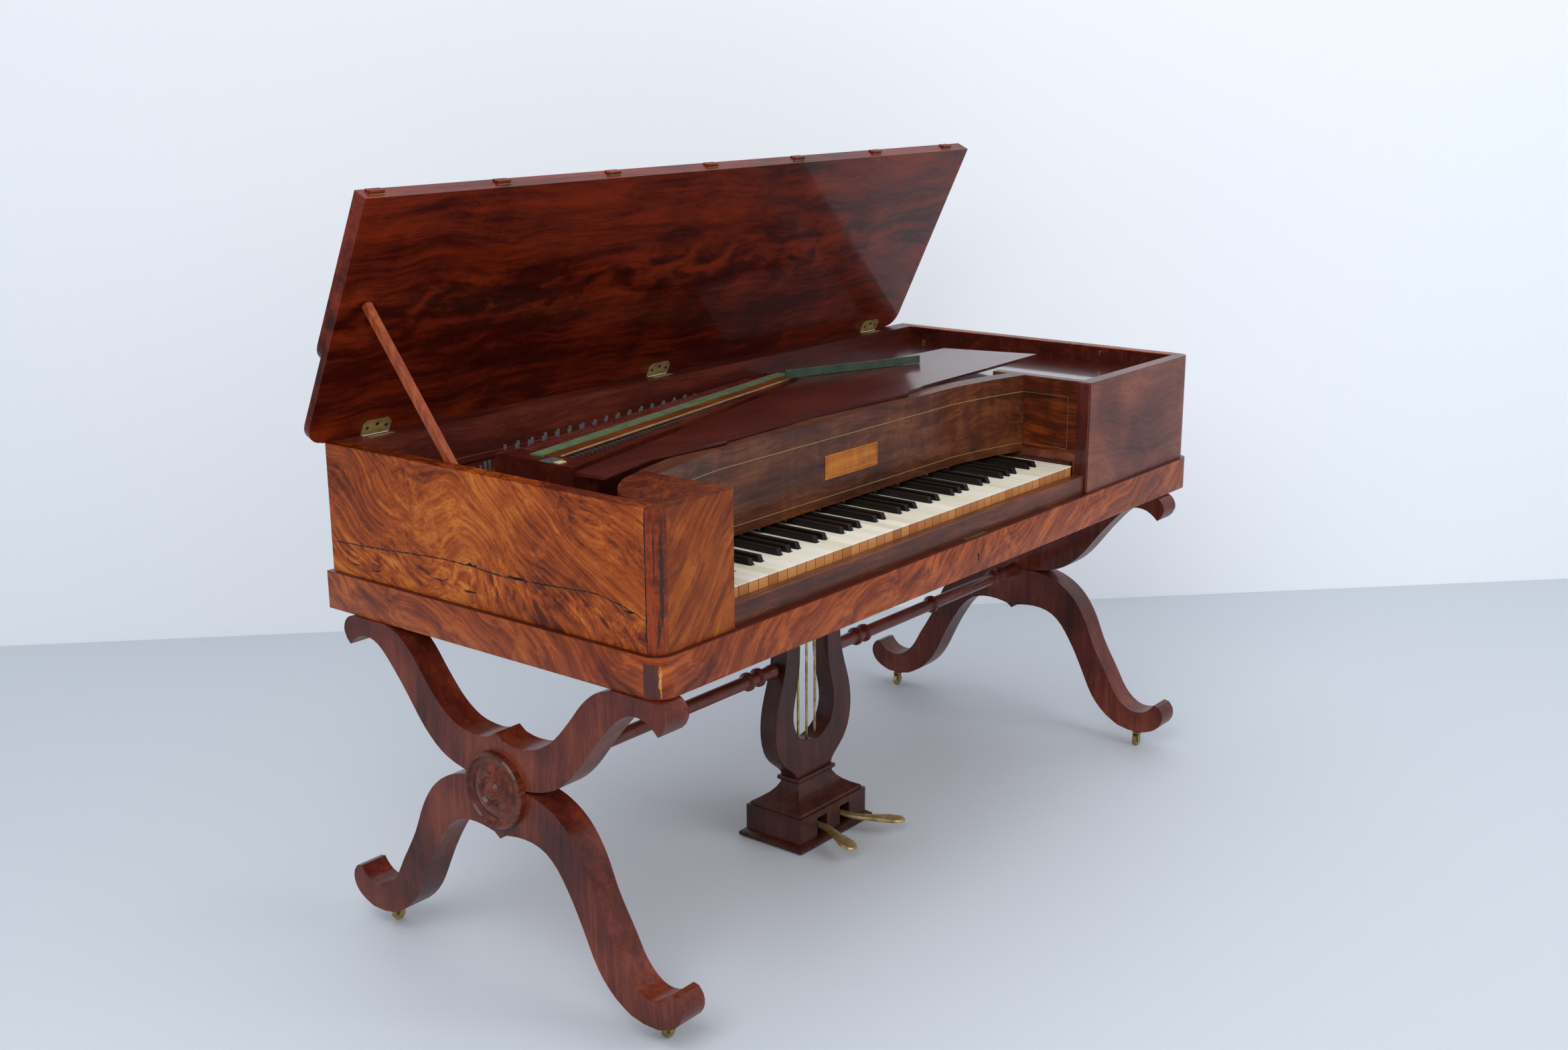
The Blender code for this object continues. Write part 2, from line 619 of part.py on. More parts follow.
def make_key_slip():
    """The slip in front of the keys, with its rounded top edge."""
    top = arc((SLIP_FRONT + 0.003, SLIP_TOP - 0.003), 0.003, 180, 90, 3)
    outline = [(SLIP_BACK, BODY_BOTTOM), (SLIP_BACK, SLIP_TOP), *reversed(top), (SLIP_FRONT, BODY_BOTTOM)]
    side_piece("key_slip", outline, LEFT_CHEEK + GAP, RIGHT_CHEEK - GAP, VENEER)


def natural_name(index):
    """The letter of a natural, counted from the bass end."""
    return NATURAL_NAMES[index % len(NATURAL_NAMES)]


def has_sharp(index):
    """Whether a sharp stands between this natural and the next."""
    return natural_name(index) in SHARP_AFTER and index + 1 < NATURALS


def natural_left(index):
    """X of a natural's left edge."""
    return KEYS_LEFT + index * NATURAL_PITCH


def natural_plan(index):
    """A natural's plan: the wide head, and the tail narrowed beside its sharps."""
    left = natural_left(index) + KEY_GAP / 2
    right = natural_left(index + 1) - KEY_GAP / 2
    cut = SHARP_BODY / 2 + KEY_GAP / 2
    tail_left = left + cut if index > 0 and has_sharp(index - 1) else left
    tail_right = right - cut if has_sharp(index) else right
    head_end = KEY_FRONT + HEAD_LENGTH
    points = [(left, KEY_FRONT), (right, KEY_FRONT), (right, head_end), (tail_right, head_end),
              (tail_right, KEY_REAR), (tail_left, KEY_REAR), (tail_left, head_end), (left, head_end)]
    kept = []
    for point in points:
        if point not in kept:
            kept.append(point)
    return kept


def sharp_outline(rise):
    """A sharp's side outline: the wooden lever under the ebony top with its sloping front."""
    front = KEY_FRONT + HEAD_LENGTH + HEAD_GAP
    top = KEY_TOP + rise
    lever_top = KEY_TOP - 0.002
    return [(front, KEY_BOTTOM), (KEY_REAR, KEY_BOTTOM), (KEY_REAR, lever_top), (SHARP_REAR, lever_top),
            (SHARP_REAR, top), (front + SHARP_SLOPE, top), (front + 0.0008, KEY_TOP + 0.0015),
            (front, KEY_TOP - 0.0005)]


def make_free_keys():
    """One octave of keys that play, each on its own pivot line."""
    for index in range(FIRST_FREE_KEY, FIRST_FREE_KEY + FREE_NATURALS):
        letter = natural_name(index).lower()
        key = plan_piece(f"key_{letter}", natural_plan(index), KEY_BOTTOM, KEY_TOP, BONE)
        hang_on_axis(key, place(natural_left(index), BALANCE_LINE, KEY_BOTTOM))
        if has_sharp(index):
            centre = natural_left(index + 1)
            sharp = side_piece(f"key_{letter}_sharp", sharp_outline(SHARP_HEIGHT), centre - SHARP_WIDTH / 2,
                               centre + SHARP_WIDTH / 2, EBONY)
            hang_on_axis(sharp, place(centre, BALANCE_LINE, KEY_BOTTOM))


def make_key_block(name, first, count):
    """Keys that are joined side by side: naturals parted by grooves, with the sharps standing on them."""
    left = natural_left(first) + KEY_GAP / 2
    right = natural_left(first + count) - KEY_GAP / 2
    block = box(name, (left, KEY_FRONT, KEY_BOTTOM), (right, KEY_REAR, KEY_TOP), BONE)
    grooves = [box("tools", (natural_left(i) - KEY_GAP / 2, KEY_FRONT - 0.01, KEY_TOP - GROOVE_DEPTH),
                   (natural_left(i) + KEY_GAP / 2, KEY_FRONT + HEAD_LENGTH + 0.002, KEY_TOP + 0.01), BONE)
               for i in range(first + 1, first + count)]
    block = combine(block, joined_mesh(grooves), "DIFFERENCE")
    sharps = []
    for i in range(first, first + count - 1):
        if has_sharp(i):
            centre = natural_left(i + 1)
            front = KEY_FRONT + HEAD_LENGTH
            root = KEY_TOP - 0.004
            top = KEY_TOP + SHARP_HEIGHT
            outline = [(front, root), (SHARP_REAR, root), (SHARP_REAR, top), (front + SHARP_SLOPE, top),
                       (front + 0.0008, KEY_TOP + 0.0015)]
            half = SHARP_WIDTH / 2
            sharps.append(side_piece("tools", outline, centre - half, centre + half, BONE))
    combine(block, joined_mesh(sharps), "UNION")


def make_wrest_plank():
    """The wrest plank along the back with two slanting rows of iron tuning pins."""
    left = SIDE_THICKNESS + 2 * GAP
    back = CASE_DEPTH - BACK_THICKNESS - GAP
    plan = [(left, WREST_FRONT), (WREST_BEND, WREST_FRONT), WREST_END, (WREST_END[0], back), (left, back)]
    plank = plan_piece("wrest_plank", plan, WREST_BOTTOM, WREST_TOP, WOOD)
    pins = []
    for row in range(2):
        for i in range(PINS_PER_ROW):
            x = PIN_FIRST[0] + row * ROW_OFFSET[0] + i * PIN_STEP
            y = PIN_FIRST[1] + row * ROW_OFFSET[1] + i * PIN_STEP * PIN_SLOPE
            pins.append(cylinder("tools", (x, y, (PIN_TOP + WREST_TOP) / 2 - 0.003), PIN_RADIUS,
                                 PIN_TOP - WREST_TOP + 0.006, IRON, sides=6))
    combine(plank, joined_mesh(pins), "UNION")


def bar_plan(start, end, half_width):
    """The plan of a straight bar between two points."""
    along = (Vector(end) - Vector(start)).normalized()
    near = Vector((along.y, -along.x)) * half_width
    corners = ((start, -near), (start, near), (end, near), (end, -near))
    return [tuple(Vector(point) + shift) for point, shift in corners]


def make_damper_case():
    """The slanting damper case with its slot, its end standards and the green cloth along its top."""
    body = plan_piece("damper_case", DAMPER_PLAN, DAMPER_BOTTOM, DAMPER_TOP, WOOD)
    low = PLINTH_BOTTOM + FLOOR_BOARD + GAP
    for left, right, front, back in STANDARDS:
        standard = box("tools", (left, front, low), (right, back, DAMPER_BOTTOM + 0.01), WOOD)
        body = combine(body, standard, "UNION")
    slot = plan_piece("tools", SLOT_PLAN, DAMPER_TOP - SLOT_DEPTH, DAMPER_TOP + 0.01, WOOD)
    combine(body, slot, "DIFFERENCE")
    plan_piece("cloth_strip", bar_plan(CLOTH_START, CLOTH_END, CLOTH_WIDTH / 2), DAMPER_TOP + GAP,
               DAMPER_TOP + GAP + CLOTH_THICKNESS, CLOTH)


def cover_height(y):
    """Height of the dust cover's top, which falls toward the back."""
    return COVER_HIGH - COVER_FALL * (y - COVER_HIGH_LINE)


def tilted_piece(name, points, bottom, top, look):
    """A piece with a plan outline that leans with the dust cover, at heights from the cover's top."""
    made = bake(flat_outline(name, points, top - bottom, look))
    lean = Matrix.Identity(4)
    lean[2][1] = -COVER_FALL
    made.data.transform(Matrix.Translation(place(0.0, 0.0, cover_height(0.0) + (bottom + top) / 2)) @ lean)
    return made


def make_treble_panel():
    """The polished panel that floors the treble end of the case."""
    right = CASE_LENGTH - SIDE_THICKNESS - 2 * GAP
    back = CASE_DEPTH - BACK_THICKNESS - GAP
    front = FRONT_BOARD + GAP
    left = RIGHT_CHEEK + SIDE_PANEL + GAP
    step_x, step_y = PANEL_STEP
    plan = [(left, front), (right, front), (right, back), (step_x, back), (step_x, step_y), (left, step_y)]
    plan_piece("treble_panel", plan, PANEL_TOP - PANEL_THICKNESS, PANEL_TOP, WOOD)


def make_dust_cover():
    """The loose dust cover, the bracket under its bass end and the green bar that lies on it."""
    tilted_piece("dust_cover", COVER_PLAN, -COVER_THICKNESS, 0.0, DARK_WOOD)
    low = PLINTH_BOTTOM + FLOOR_BOARD + GAP
    top = cover_height(BRACKET_BACK[-1][0]) - COVER_THICKNESS - REST_GAP
    front_side = smooth([(y, top - below) for y, below in BRACKET_FRONT], 2)
    back_side = [(y, top - below) for y, below in BRACKET_BACK]
    outline = front_side + [(front_side[-1][0], low), (back_side[0][0], low)] + back_side
    side_piece("cover_bracket", outline, *BRACKET_SIDES, WOOD)
    bar = bar_plan(BAR_START, BAR_END, BAR_THICKNESS / 2)
    tilted_piece("swell_bar", bar, REST_GAP, REST_GAP + BAR_HEIGHT, CLOTH)


def hang_on_axis(item, point):
    """Moves a piece's origin to a point of its joint axis, with the mesh left where it is."""
    item.data.transform(Matrix.Translation(-point))
    item.location = point
    return item


def lid_empty():
    """The empty on the lid's hinge axis, turned to the open pose."""
    pivot = bpy.data.objects.new("lid_axis", None)
    PIANO.objects.link(pivot)
    pivot.location = place(0.0, LID_AXIS[0], LID_AXIS[1])
    pivot.rotation_euler = (-LID_OPEN, 0.0, 0.0)
    return pivot


def board_outline(near, far):
    """The plan of the lid or its flap: square at the joint between them, with two rounded corners."""
    right_corner = arc((LID_RIGHT - LID_CORNER, far - LID_CORNER), LID_CORNER, 0, 90, 6)
    left_corner = arc((LID_LEFT + LID_CORNER, far - LID_CORNER), LID_CORNER, 90, 180, 6)
    return [(LID_LEFT, near), (LID_RIGHT, near)] + right_corner + left_corner


def lid_piece(name, points, bottom, top, look):
    """A flat piece in the closed lid's own coordinates, about its hinge axis."""
    made = flat_outline(name, points, top - bottom, look)
    made.location = (0.0, 0.0, (bottom + top) / 2)
    return bake(made)


def knuckle(x, radius, length):
    """A hinge's barrel along X, at a place on its axis."""
    mesh = cylinder_mesh("tools", radius, length, 12)
    mesh.transform(Matrix.Translation((x, 0.0, 0.0)) @ Matrix.Rotation(math.radians(90), 4, "Y"))
    return add_object("tools", mesh, BRASS)


def lid_box(left, right, near, far, bottom, top, look):
    """A box in the closed lid's own coordinates, for joining or cutting."""
    return lid_piece("tools", [(left, near), (right, near), (right, far), (left, far)], bottom, top, look)


def make_lid(pivot):
    """The main lid, with a notch in its back edge for each hinge's barrel."""
    rear = -LID_SETBACK
    outline = board_outline(rear - LID_DEPTH, rear)
    lid = lid_piece("lid_main", outline, -LID_LIFT, LID_THICKNESS - LID_LIFT, VENEER)
    half = LID_HINGE_LENGTH / 2 + HINGE_ROOM
    reach = KNUCKLE_RADIUS + HINGE_ROOM
    notches = [lid_box(x - half, x + half, -reach, reach, -reach, reach, VENEER) for x in LID_HINGES]
    lid = combine(lid, joined_mesh(notches), "DIFFERENCE")
    lid.parent = pivot


def make_flap(pivot):
    """The flap, folded over on the lid, with seven hinge knuckles along the joint."""
    near = FLAP_KNUCKLE_RADIUS + GAP
    outline = board_outline(near, near + FLAP_DEPTH)
    flap = lid_piece("lid_flap", outline, GAP / 2, LID_THICKNESS + GAP / 2, VENEER)
    step = (FLAP_HINGE_LAST - FLAP_HINGE_FIRST) / (FLAP_HINGES - 1)
    half = FLAP_HINGE_LENGTH / 2
    for i in range(FLAP_HINGES):
        x = FLAP_HINGE_FIRST + i * step
        flap = combine(flap, knuckle(x, FLAP_KNUCKLE_RADIUS, FLAP_HINGE_LENGTH), "UNION")
        flap = combine(flap, lid_box(x - half, x + half, 0.0, near + 0.001, 0.0006, 0.0100, BRASS), "UNION")
    seam = LID_THICKNESS - LID_LIFT + GAP / 2
    flap.location = (0.0, -LID_SETBACK - LID_DEPTH - near, seam)
    flap.parent = pivot


def make_lid_hinges(pivot):
    """The three brass hinges along the back: each a leaf on the lid's inner face, joined to its barrel."""
    leaf_top = -LID_LIFT - GAP
    leaf_bottom = leaf_top - LEAF_THICKNESS
    half = LID_HINGE_LENGTH / 2
    for number, x in enumerate(LID_HINGES, 1):
        tip = half - LEAF_CHAMFER
        outline = [(x - half, -0.0010), (x - half, LEAF_CHAMFER - LEAF_DEPTH), (x - tip, -LEAF_DEPTH),
                   (x + tip, -LEAF_DEPTH), (x + half, LEAF_CHAMFER - LEAF_DEPTH), (x + half, -0.0010)]
        hinge = lid_piece(f"lid_hinge_{number}", outline, leaf_bottom, leaf_top, BRASS)
        web = lid_box(x - half, x + half, -KNUCKLE_RADIUS, 0.0, leaf_bottom, 0.0, BRASS)
        hinge = combine(hinge, web, "UNION")
        hinge = combine(hinge, knuckle(x, KNUCKLE_RADIUS, LID_HINGE_LENGTH), "UNION")
        hinge.parent = pivot


def make_prop():
    """The square prop stick, hinged inside the left rim, with its head against the open lid."""
    foot = Vector(PROP_PIVOT)
    tip = Vector(PROP_TIP)
    along = (tip - foot).normalized()
    side = Vector((0.0, -1.0, 0.0)).cross(along).normalized()
    thick = along.cross(side)
    start = foot - along * PROP_TAIL
    half = PROP_WIDTH / 2
    rings = []
    for point, scale in ((start, 0.7), (start + along * 0.004, 1.0), (tip - along * 0.003, 1.0), (tip, 0.75)):
        rings.append([place(*(point + side * half * scale * a + thick * half * scale * b))
                      for a, b in ((-1, -1), (1, -1), (1, 1), (-1, 1))])
    stick = add_object("prop_stick", loft_mesh("prop_stick", rings), PALE_WOOD)
    hang_on_axis(stick, place(*PROP_PIVOT))


def mirrored(points):
    """Front-side points and their copies behind the frame's middle, as one closed outline."""
    forward = [(FRAME_CENTRE - s, z) for s, z in points]
    behind = [(FRAME_CENTRE + s, z) for s, z in reversed(points) if s > 0]
    return forward + behind


def upper_outline():
    """The upper U of an X frame: scrolled ends under the case, a saddle with a small cusp, a round belly."""
    scroll = arc(SCROLL_CENTRE, SCROLL_RADIUS, 90, -5, 7)
    return mirrored([(0.0, SADDLE_CUSP), *smooth(SADDLE, 3), *scroll, *SCROLL_TIP, *smooth(BELLY, 2),
                     (0.0, WAIST + GAP)])


def lower_outline():
    """The lower U of an X frame: round shoulders, S legs, scrolled feet and a small cusp in the arch."""
    return mirrored([(0.0, WAIST), *smooth(SHOULDER, 2), *smooth(FOOT, 2), (SOLE_INNER, FOOT_CLEARANCE),
                     *smooth(ARCH, 2), (0.0, ARCH_CUSP)])


def make_x_frames():
    """Both X frames, each of two pieces that meet at the waist, with a turned rosette outside."""
    for name, left, outside in (("left", FRAME_LEFT, -1), ("right", FRAME_RIGHT, 1)):
        right = left + FRAME_THICKNESS
        side_piece(f"frame_{name}_upper", upper_outline(), left, right, WOOD)
        side_piece(f"frame_{name}_lower", lower_outline(), left, right, WOOD)
        face = left if outside < 0 else right
        make_rosette(f"rosette_{name}", face + outside * GAP, outside)


def make_rosette(name, face, outside):
    """A turned rosette: flat back, raised rim, hollow, ring and centre button."""
    profile = [(share * ROSETTE_RADIUS, height) for share, height in ROSETTE]
    turn = Matrix.Rotation(math.radians(90 * outside), 4, "Y")
    turned(name, profile, Matrix.Translation(place(face, FRAME_CENTRE, ROSETTE_HEIGHT)) @ turn, WOOD, 32)


def ring_profile(centre, half=0.0055):
    """A bead ring on a turned bar."""
    return [(STRETCHER_RADIUS, centre - half), (RING_RADIUS, centre - half / 2),
            (RING_RADIUS, centre + half / 2), (STRETCHER_RADIUS, centre + half)]


def make_stretchers():
    """The two turned stretchers, from the frames to the lyre, with their bead rings."""
    lyre_side = lyre_half_width(STRETCHER_Z - STRETCHER_RADIUS * 1.2)
    spans = (("stretcher_left", FRAME_LEFT + FRAME_THICKNESS + GAP, LYRE_X - lyre_side - GAP, LEFT_RINGS),
             ("stretcher_right", LYRE_X + lyre_side + GAP, FRAME_RIGHT - GAP, RIGHT_RINGS))
    collar = STRETCHER_RADIUS * 1.12
    for name, start, end, rings in spans:
        profile = [(0.0, 0.0), (collar, 0.0), (collar, 0.010), (STRETCHER_RADIUS, 0.014)]
        for ring in rings:
            profile += ring_profile(ring - start)
        length = end - start
        profile += [(STRETCHER_RADIUS, length - 0.014), (collar, length - 0.010), (collar, length),
                    (0.0, length)]
        turn = Matrix.Rotation(math.radians(90), 4, "Y")
        turned(name, profile, Matrix.Translation(place(start, STRETCHER_Y, STRETCHER_Z)) @ turn, WOOD, 20)


def lyre_half_width(height):
    """Half the lyre's width at a height, read from its side points."""
    for (low, narrow), (high, wide) in zip(LYRE_SIDE, LYRE_SIDE[1:]):
        if low <= height <= high:
            return narrow + (wide - narrow) * (height - low) / (high - low)
    return LYRE_SIDE[-1][1]


def make_lyre():
    """The flat lyre with its opening, on a concave foot and a pedal box with two slots."""
    side = smooth([(half, z) for z, half in LYRE_SIDE], 2)
    outline = [(LYRE_X + half, z) for half, z in side] + [(LYRE_X - half, z) for half, z in reversed(side)]
    gap_side = smooth([(half, z) for z, half in LYRE_OPENING], 2)
    opening = ([(LYRE_X + half, z) for half, z in gap_side]
               + [(LYRE_X - half, z) for half, z in reversed(gap_side[1:])])
    front = LYRE_Y - LYRE_THICKNESS / 2
    lyre = front_piece("lyre", outline, front, front + LYRE_THICKNESS, WOOD, [opening])
    rings = [[place(LYRE_X + a * x, LYRE_Y + b * y, z) for a, b in ((-1, -1), (1, -1), (1, 1), (-1, 1))]
             for z, x, y in LYRE_FOOT]
    foot = add_object("tools", loft_mesh("tools", rings), WOOD)
    lyre = combine(lyre, foot, "UNION")
    slot_low, slot_high = PEDAL_SLOT
    slots = []
    wells = []
    for side_sign in (-1, 1):
        slot_middle = LYRE_X + side_sign * PEDAL_ROOT
        slots.append(box("tools", (slot_middle - SLOT_HALF_WIDTH, LYRE_Y - 0.093, slot_low),
                         (slot_middle + SLOT_HALF_WIDTH, LYRE_Y + 0.030, slot_high), WOOD))
        well_centre = (LYRE_X + side_sign * ROD_SPACING, LYRE_Y, 0.32)
        wells.append(cylinder("tools", well_centre, ROD_RADIUS + 0.0012, 0.56, WOOD, sides=12))
    lyre = combine(lyre, joined_mesh(slots), "DIFFERENCE")
    combine(lyre, joined_mesh(wells), "DIFFERENCE")


def make_rods():
    """Three brass rods in the lyre: the outer two follow the pedals, the middle one is fixed."""
    opening_low = LYRE_OPENING[0][0] + REST_GAP
    opening_high = LYRE_OPENING[-1][0] - GAP
    for name, offset, low, high in (("rod_left", -ROD_SPACING, ROD_FOOT, ROD_HEAD),
                                    ("rod_middle", 0.0, opening_low, opening_high),
                                    ("rod_right", ROD_SPACING, ROD_FOOT, ROD_HEAD)):
        centre = (LYRE_X + offset, LYRE_Y, (low + high) / 2)
        rod = cylinder(name, centre, ROD_RADIUS, high - low, BRASS, sides=12)
        hang_on_axis(rod, place(LYRE_X + offset, LYRE_Y, low))


def make_pedals():
    """Two brass pedals that leave the box and flare outward into broad toes."""
    for name, side in (("pedal_left", -1), ("pedal_right", 1)):
        root = LYRE_X + side * PEDAL_ROOT
        turns = [2 * math.pi * i / PEDAL_SIDES for i in range(PEDAL_SIDES)]
        rings = []
        for y, drift, z, half_width, half_height in smooth(PEDAL, 2):
            middle = root + side * drift
            rings.append([place(middle + half_width * math.cos(turn), y, z + half_height * math.sin(turn))
                          for turn in turns])
        pedal = add_object(name, loft_mesh(name, rings), BRASS)
        hang_on_axis(pedal, place(root, *PEDAL_AXIS))


def make_casters():
    """Four brass casters, each a fork that swivels under its foot and a wheel that rolls in it."""
    half = FRAME_THICKNESS / 2
    frames = (("left", FRAME_LEFT + half, 1), ("right", FRAME_RIGHT + half, -1))
    for frame_name, x, trail_side in frames:
        for end_name, y in (("front", FRAME_CENTRE - CASTER_OUT), ("back", FRAME_CENTRE + CASTER_OUT)):
            label = f"{frame_name}_{end_name}"
            axle = (x + trail_side * CASTER_TRAIL, y, WHEEL_RADIUS * math.cos(math.pi / WHEEL_SIDES))
            top = FOOT_CLEARANCE - GAP
            fork = cylinder(f"caster_fork_{label}", (x, y, (top + SWIVEL_BOTTOM) / 2), SWIVEL_RADIUS,
                            top - SWIVEL_BOTTOM, BRASS, sides=16)
            plate_low = axle[0] - FORK_HALF
            plate_high = axle[0] + FORK_HALF
            inner_low = min(x - trail_side * 0.004, plate_low)
            inner_high = max(x - trail_side * 0.004, plate_high)
            bridge = box("tools", (inner_low, y - BRIDGE_HALF, BRIDGE[0]),
                         (inner_high, y + BRIDGE_HALF, BRIDGE[1]), BRASS)
            fork = combine(fork, bridge, "UNION")
            for side in (-1, 1):
                inside = y + side * (WHEEL_WIDTH / 2 + 0.0008)
                outside = y + side * (WHEEL_WIDTH / 2 + 0.0030)
                plate = box("tools", (plate_low, min(inside, outside), FORK_BOTTOM),
                            (plate_high, max(inside, outside), FORK_TOP), BRASS)
                fork = combine(fork, plate, "UNION")
            axle_pin = cylinder("tools", axle, AXLE_RADIUS, WHEEL_WIDTH + 0.0050, BRASS, axis="Y", sides=12)
            fork = combine(fork, axle_pin, "UNION")
            hang_on_axis(fork, place(x, y, top))
            wheel = cylinder(f"caster_wheel_{label}", axle, WHEEL_RADIUS, WHEEL_WIDTH, RUBBER, axis="Y",
                             sides=WHEEL_SIDES, turn=math.pi / WHEEL_SIDES)
            bore = cylinder("tools", axle, AXLE_RADIUS + 0.0002, 2 * WHEEL_WIDTH, RUBBER, axis="Y",
                            sides=12)
            wheel = combine(wheel, bore, "DIFFERENCE")
            hang_on_axis(wheel, place(*axle))


def build():
    """Builds the whole piano."""
    make_plinth()
    make_case_walls()
    make_left_cheek()
    make_right_cheek()
    make_nameboard()
    make_key_frame()
    make_key_slip()
    make_key_block("keys_bass", 0, FIRST_FREE_KEY)
    make_free_keys()
    make_key_block("keys_treble", FIRST_FREE_KEY + FREE_NATURALS, NATURALS - FIRST_FREE_KEY - FREE_NATURALS)
    make_wrest_plank()
    make_damper_case()
    make_treble_panel()
    make_dust_cover()
    lid_axis = lid_empty()
    make_lid(lid_axis)
    make_flap(lid_axis)
    make_lid_hinges(lid_axis)
    make_prop()
    make_x_frames()
    make_stretchers()
    make_lyre()
    make_rods()
    make_pedals()
    make_casters()


clear_scene()
PIANO = new_collection("fortepiano")
VENEER = material("flame mahogany veneer", (0.30, 0.095, 0.030), 0.25)
WOOD = material("polished mahogany", (0.17, 0.040, 0.018), 0.28)
DARK_WOOD = material("rosewood", (0.11, 0.030, 0.018), 0.25)
PALE_WOOD = material("limewood", (0.60, 0.33, 0.14), 0.5)
SATINWOOD = material("satinwood", (0.62, 0.36, 0.10), 0.35)
BONE = material("bone", (0.78, 0.73, 0.60), 0.35)
EBONY = material("ebony", (0.02, 0.018, 0.02), 0.35)
BRASS = material("aged brass", (0.50, 0.38, 0.16), 0.35, 1.0)
IRON = material("iron", (0.20, 0.20, 0.21), 0.5, 1.0)
CLOTH = material("green cloth", (0.16, 0.25, 0.18), 0.9)
RUBBER = material("caster wheel", (0.03, 0.03, 0.03), 0.6)
build()
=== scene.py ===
# %% [markdown]
# # A square piano on crossed end frames
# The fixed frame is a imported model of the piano's solids: case, keys, lid, stand and lyre.
# This notebook dresses that frame. It gives every solid the finish of the real thing, and it adds the
# small pieces that a maker adds last: key coverings, inlaid lines, screws, tuning pins and damper levers.

# %% Load the frame
import json
import math
import bmesh
import bpy
from mathutils import Matrix, Vector, noise


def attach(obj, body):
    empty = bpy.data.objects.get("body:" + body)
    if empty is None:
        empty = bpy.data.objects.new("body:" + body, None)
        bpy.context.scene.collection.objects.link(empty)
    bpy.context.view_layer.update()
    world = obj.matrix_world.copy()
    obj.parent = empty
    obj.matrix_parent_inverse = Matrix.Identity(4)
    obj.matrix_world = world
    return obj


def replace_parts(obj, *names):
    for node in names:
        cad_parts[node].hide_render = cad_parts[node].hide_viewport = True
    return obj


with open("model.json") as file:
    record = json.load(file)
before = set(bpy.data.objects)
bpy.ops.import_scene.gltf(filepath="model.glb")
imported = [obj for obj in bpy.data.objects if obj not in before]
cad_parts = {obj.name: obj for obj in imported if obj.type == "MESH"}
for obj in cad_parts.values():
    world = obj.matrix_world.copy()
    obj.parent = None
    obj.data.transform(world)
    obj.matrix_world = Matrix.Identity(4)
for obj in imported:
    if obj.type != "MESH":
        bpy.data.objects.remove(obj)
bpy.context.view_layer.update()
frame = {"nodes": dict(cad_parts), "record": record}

nodes = frame["nodes"]
print("the frame holds", len(nodes), "solids")

# %% [markdown]
# Places are easiest to think of from the case's left front corner, with heights from the floor.
# The frame's own origin is below the middle of the whole piano, so one small function shifts between them.

# %% Places and sizes, in metres
ORIGIN_X, ORIGIN_Y = 0.7778, 0.3364
CASE_LENGTH, CASE_DEPTH = 1.585, 0.701
RIM_TOP, BODY_BOTTOM = 0.8087, 0.6005
SIDE_THICKNESS, BACK_THICKNESS = 0.0255, 0.040
LEFT_CHEEK, RIGHT_CHEEK = 0.1618, 1.184
LID_AXIS_Y, LID_AXIS_Z = 0.7012, 0.8092
LID_OPEN = math.radians(64.6)
LID_FRONT, LID_LEFT, LID_RIGHT = -0.4304, -0.0375, 1.5515
HINGE_CENTRES = (0.0978, 0.7698, 1.4503)
CORNERS = ("left_front", "left_back", "right_front", "right_back")
QUARTER = math.radians(90)


def at(x, y, z):
    """A point measured from the case's left front corner and the floor."""
    return Vector((x - ORIGIN_X, y - ORIGIN_Y, z))


on_lid = Matrix.Translation(at(0.0, LID_AXIS_Y, LID_AXIS_Z)) @ Matrix.Rotation(-LID_OPEN, 4, "X")
lid_way = on_lid.to_3x3()

# %% [markdown]
# Colours are written as the sRGB values that a paint card would show. Blender's nodes want linear light,
# so one function turns a hex value into that. A second small function adds any node: it sets the node's
# settings, then fills each input with a number or links it to another node's output. The others below it
# name the few nodes that every finish here is made of.

# %% Colour and node helpers


def colour(hex_value):
    """An sRGB hex value as linear red, green, blue and alpha."""
    parts = [int(hex_value[i:i + 2], 16) / 255 for i in (1, 3, 5)]
    linear = [c / 12.92 if c <= 0.04045 else ((c + 0.055) / 1.055) ** 2.4 for c in parts]
    return (*linear, 1.0)


def fill(tree, socket, value):
    """Gives an input a number, or a link from another node's output."""
    if isinstance(value, bpy.types.NodeSocket):
        tree.links.new(value, socket)
    else:
        socket.default_value = value


def add_node(tree, kind, inputs=(), stops=(), **settings):
    """Adds one node with its settings, its inputs (numbers or links) and any colour stops."""
    node = tree.nodes.new(kind)
    for key, value in settings.items():
        setattr(node, key, value)
    for socket, value in dict(inputs).items():
        fill(tree, node.inputs[socket], value)
    for index, (place, hex_value) in enumerate(stops):
        elements = node.color_ramp.elements
        stop = elements[index] if index < 2 else elements.new(place)
        stop.position = place
        stop.color = colour(hex_value)
    return node


def calc(tree, operation, *values):
    """The result of one sum on numbers."""
    return add_node(tree, "ShaderNodeMath", enumerate(values), operation=operation).outputs[0]


def calc_vector(tree, operation, *values):
    """The result of one sum on vectors."""
    made = add_node(tree, "ShaderNodeVectorMath", enumerate(values), operation=operation)
    return made.outputs["Value" if operation == "DOT_PRODUCT" else 0]


def ranged(tree, value, first, last, low, high, **settings):
    """A value between first and last, moved to between low and high."""
    inputs = {"Value": value, "From Min": first, "From Max": last, "To Min": low, "To Max": high}
    return add_node(tree, "ShaderNodeMapRange", inputs, **settings).outputs[0]


def ramp(tree, factor, *stops):
    """A colour that follows a factor from stop to stop."""
    return add_node(tree, "ShaderNodeValToRGB", {"Fac": factor}, stops).outputs["Color"]


def bump(tree, height, strength, depth, **settings):
    """A normal that makes a height show as relief."""
    inputs = {"Height": height, "Strength": strength, "Distance": depth}
    return add_node(tree, "ShaderNodeBump", inputs, **settings).outputs[0]


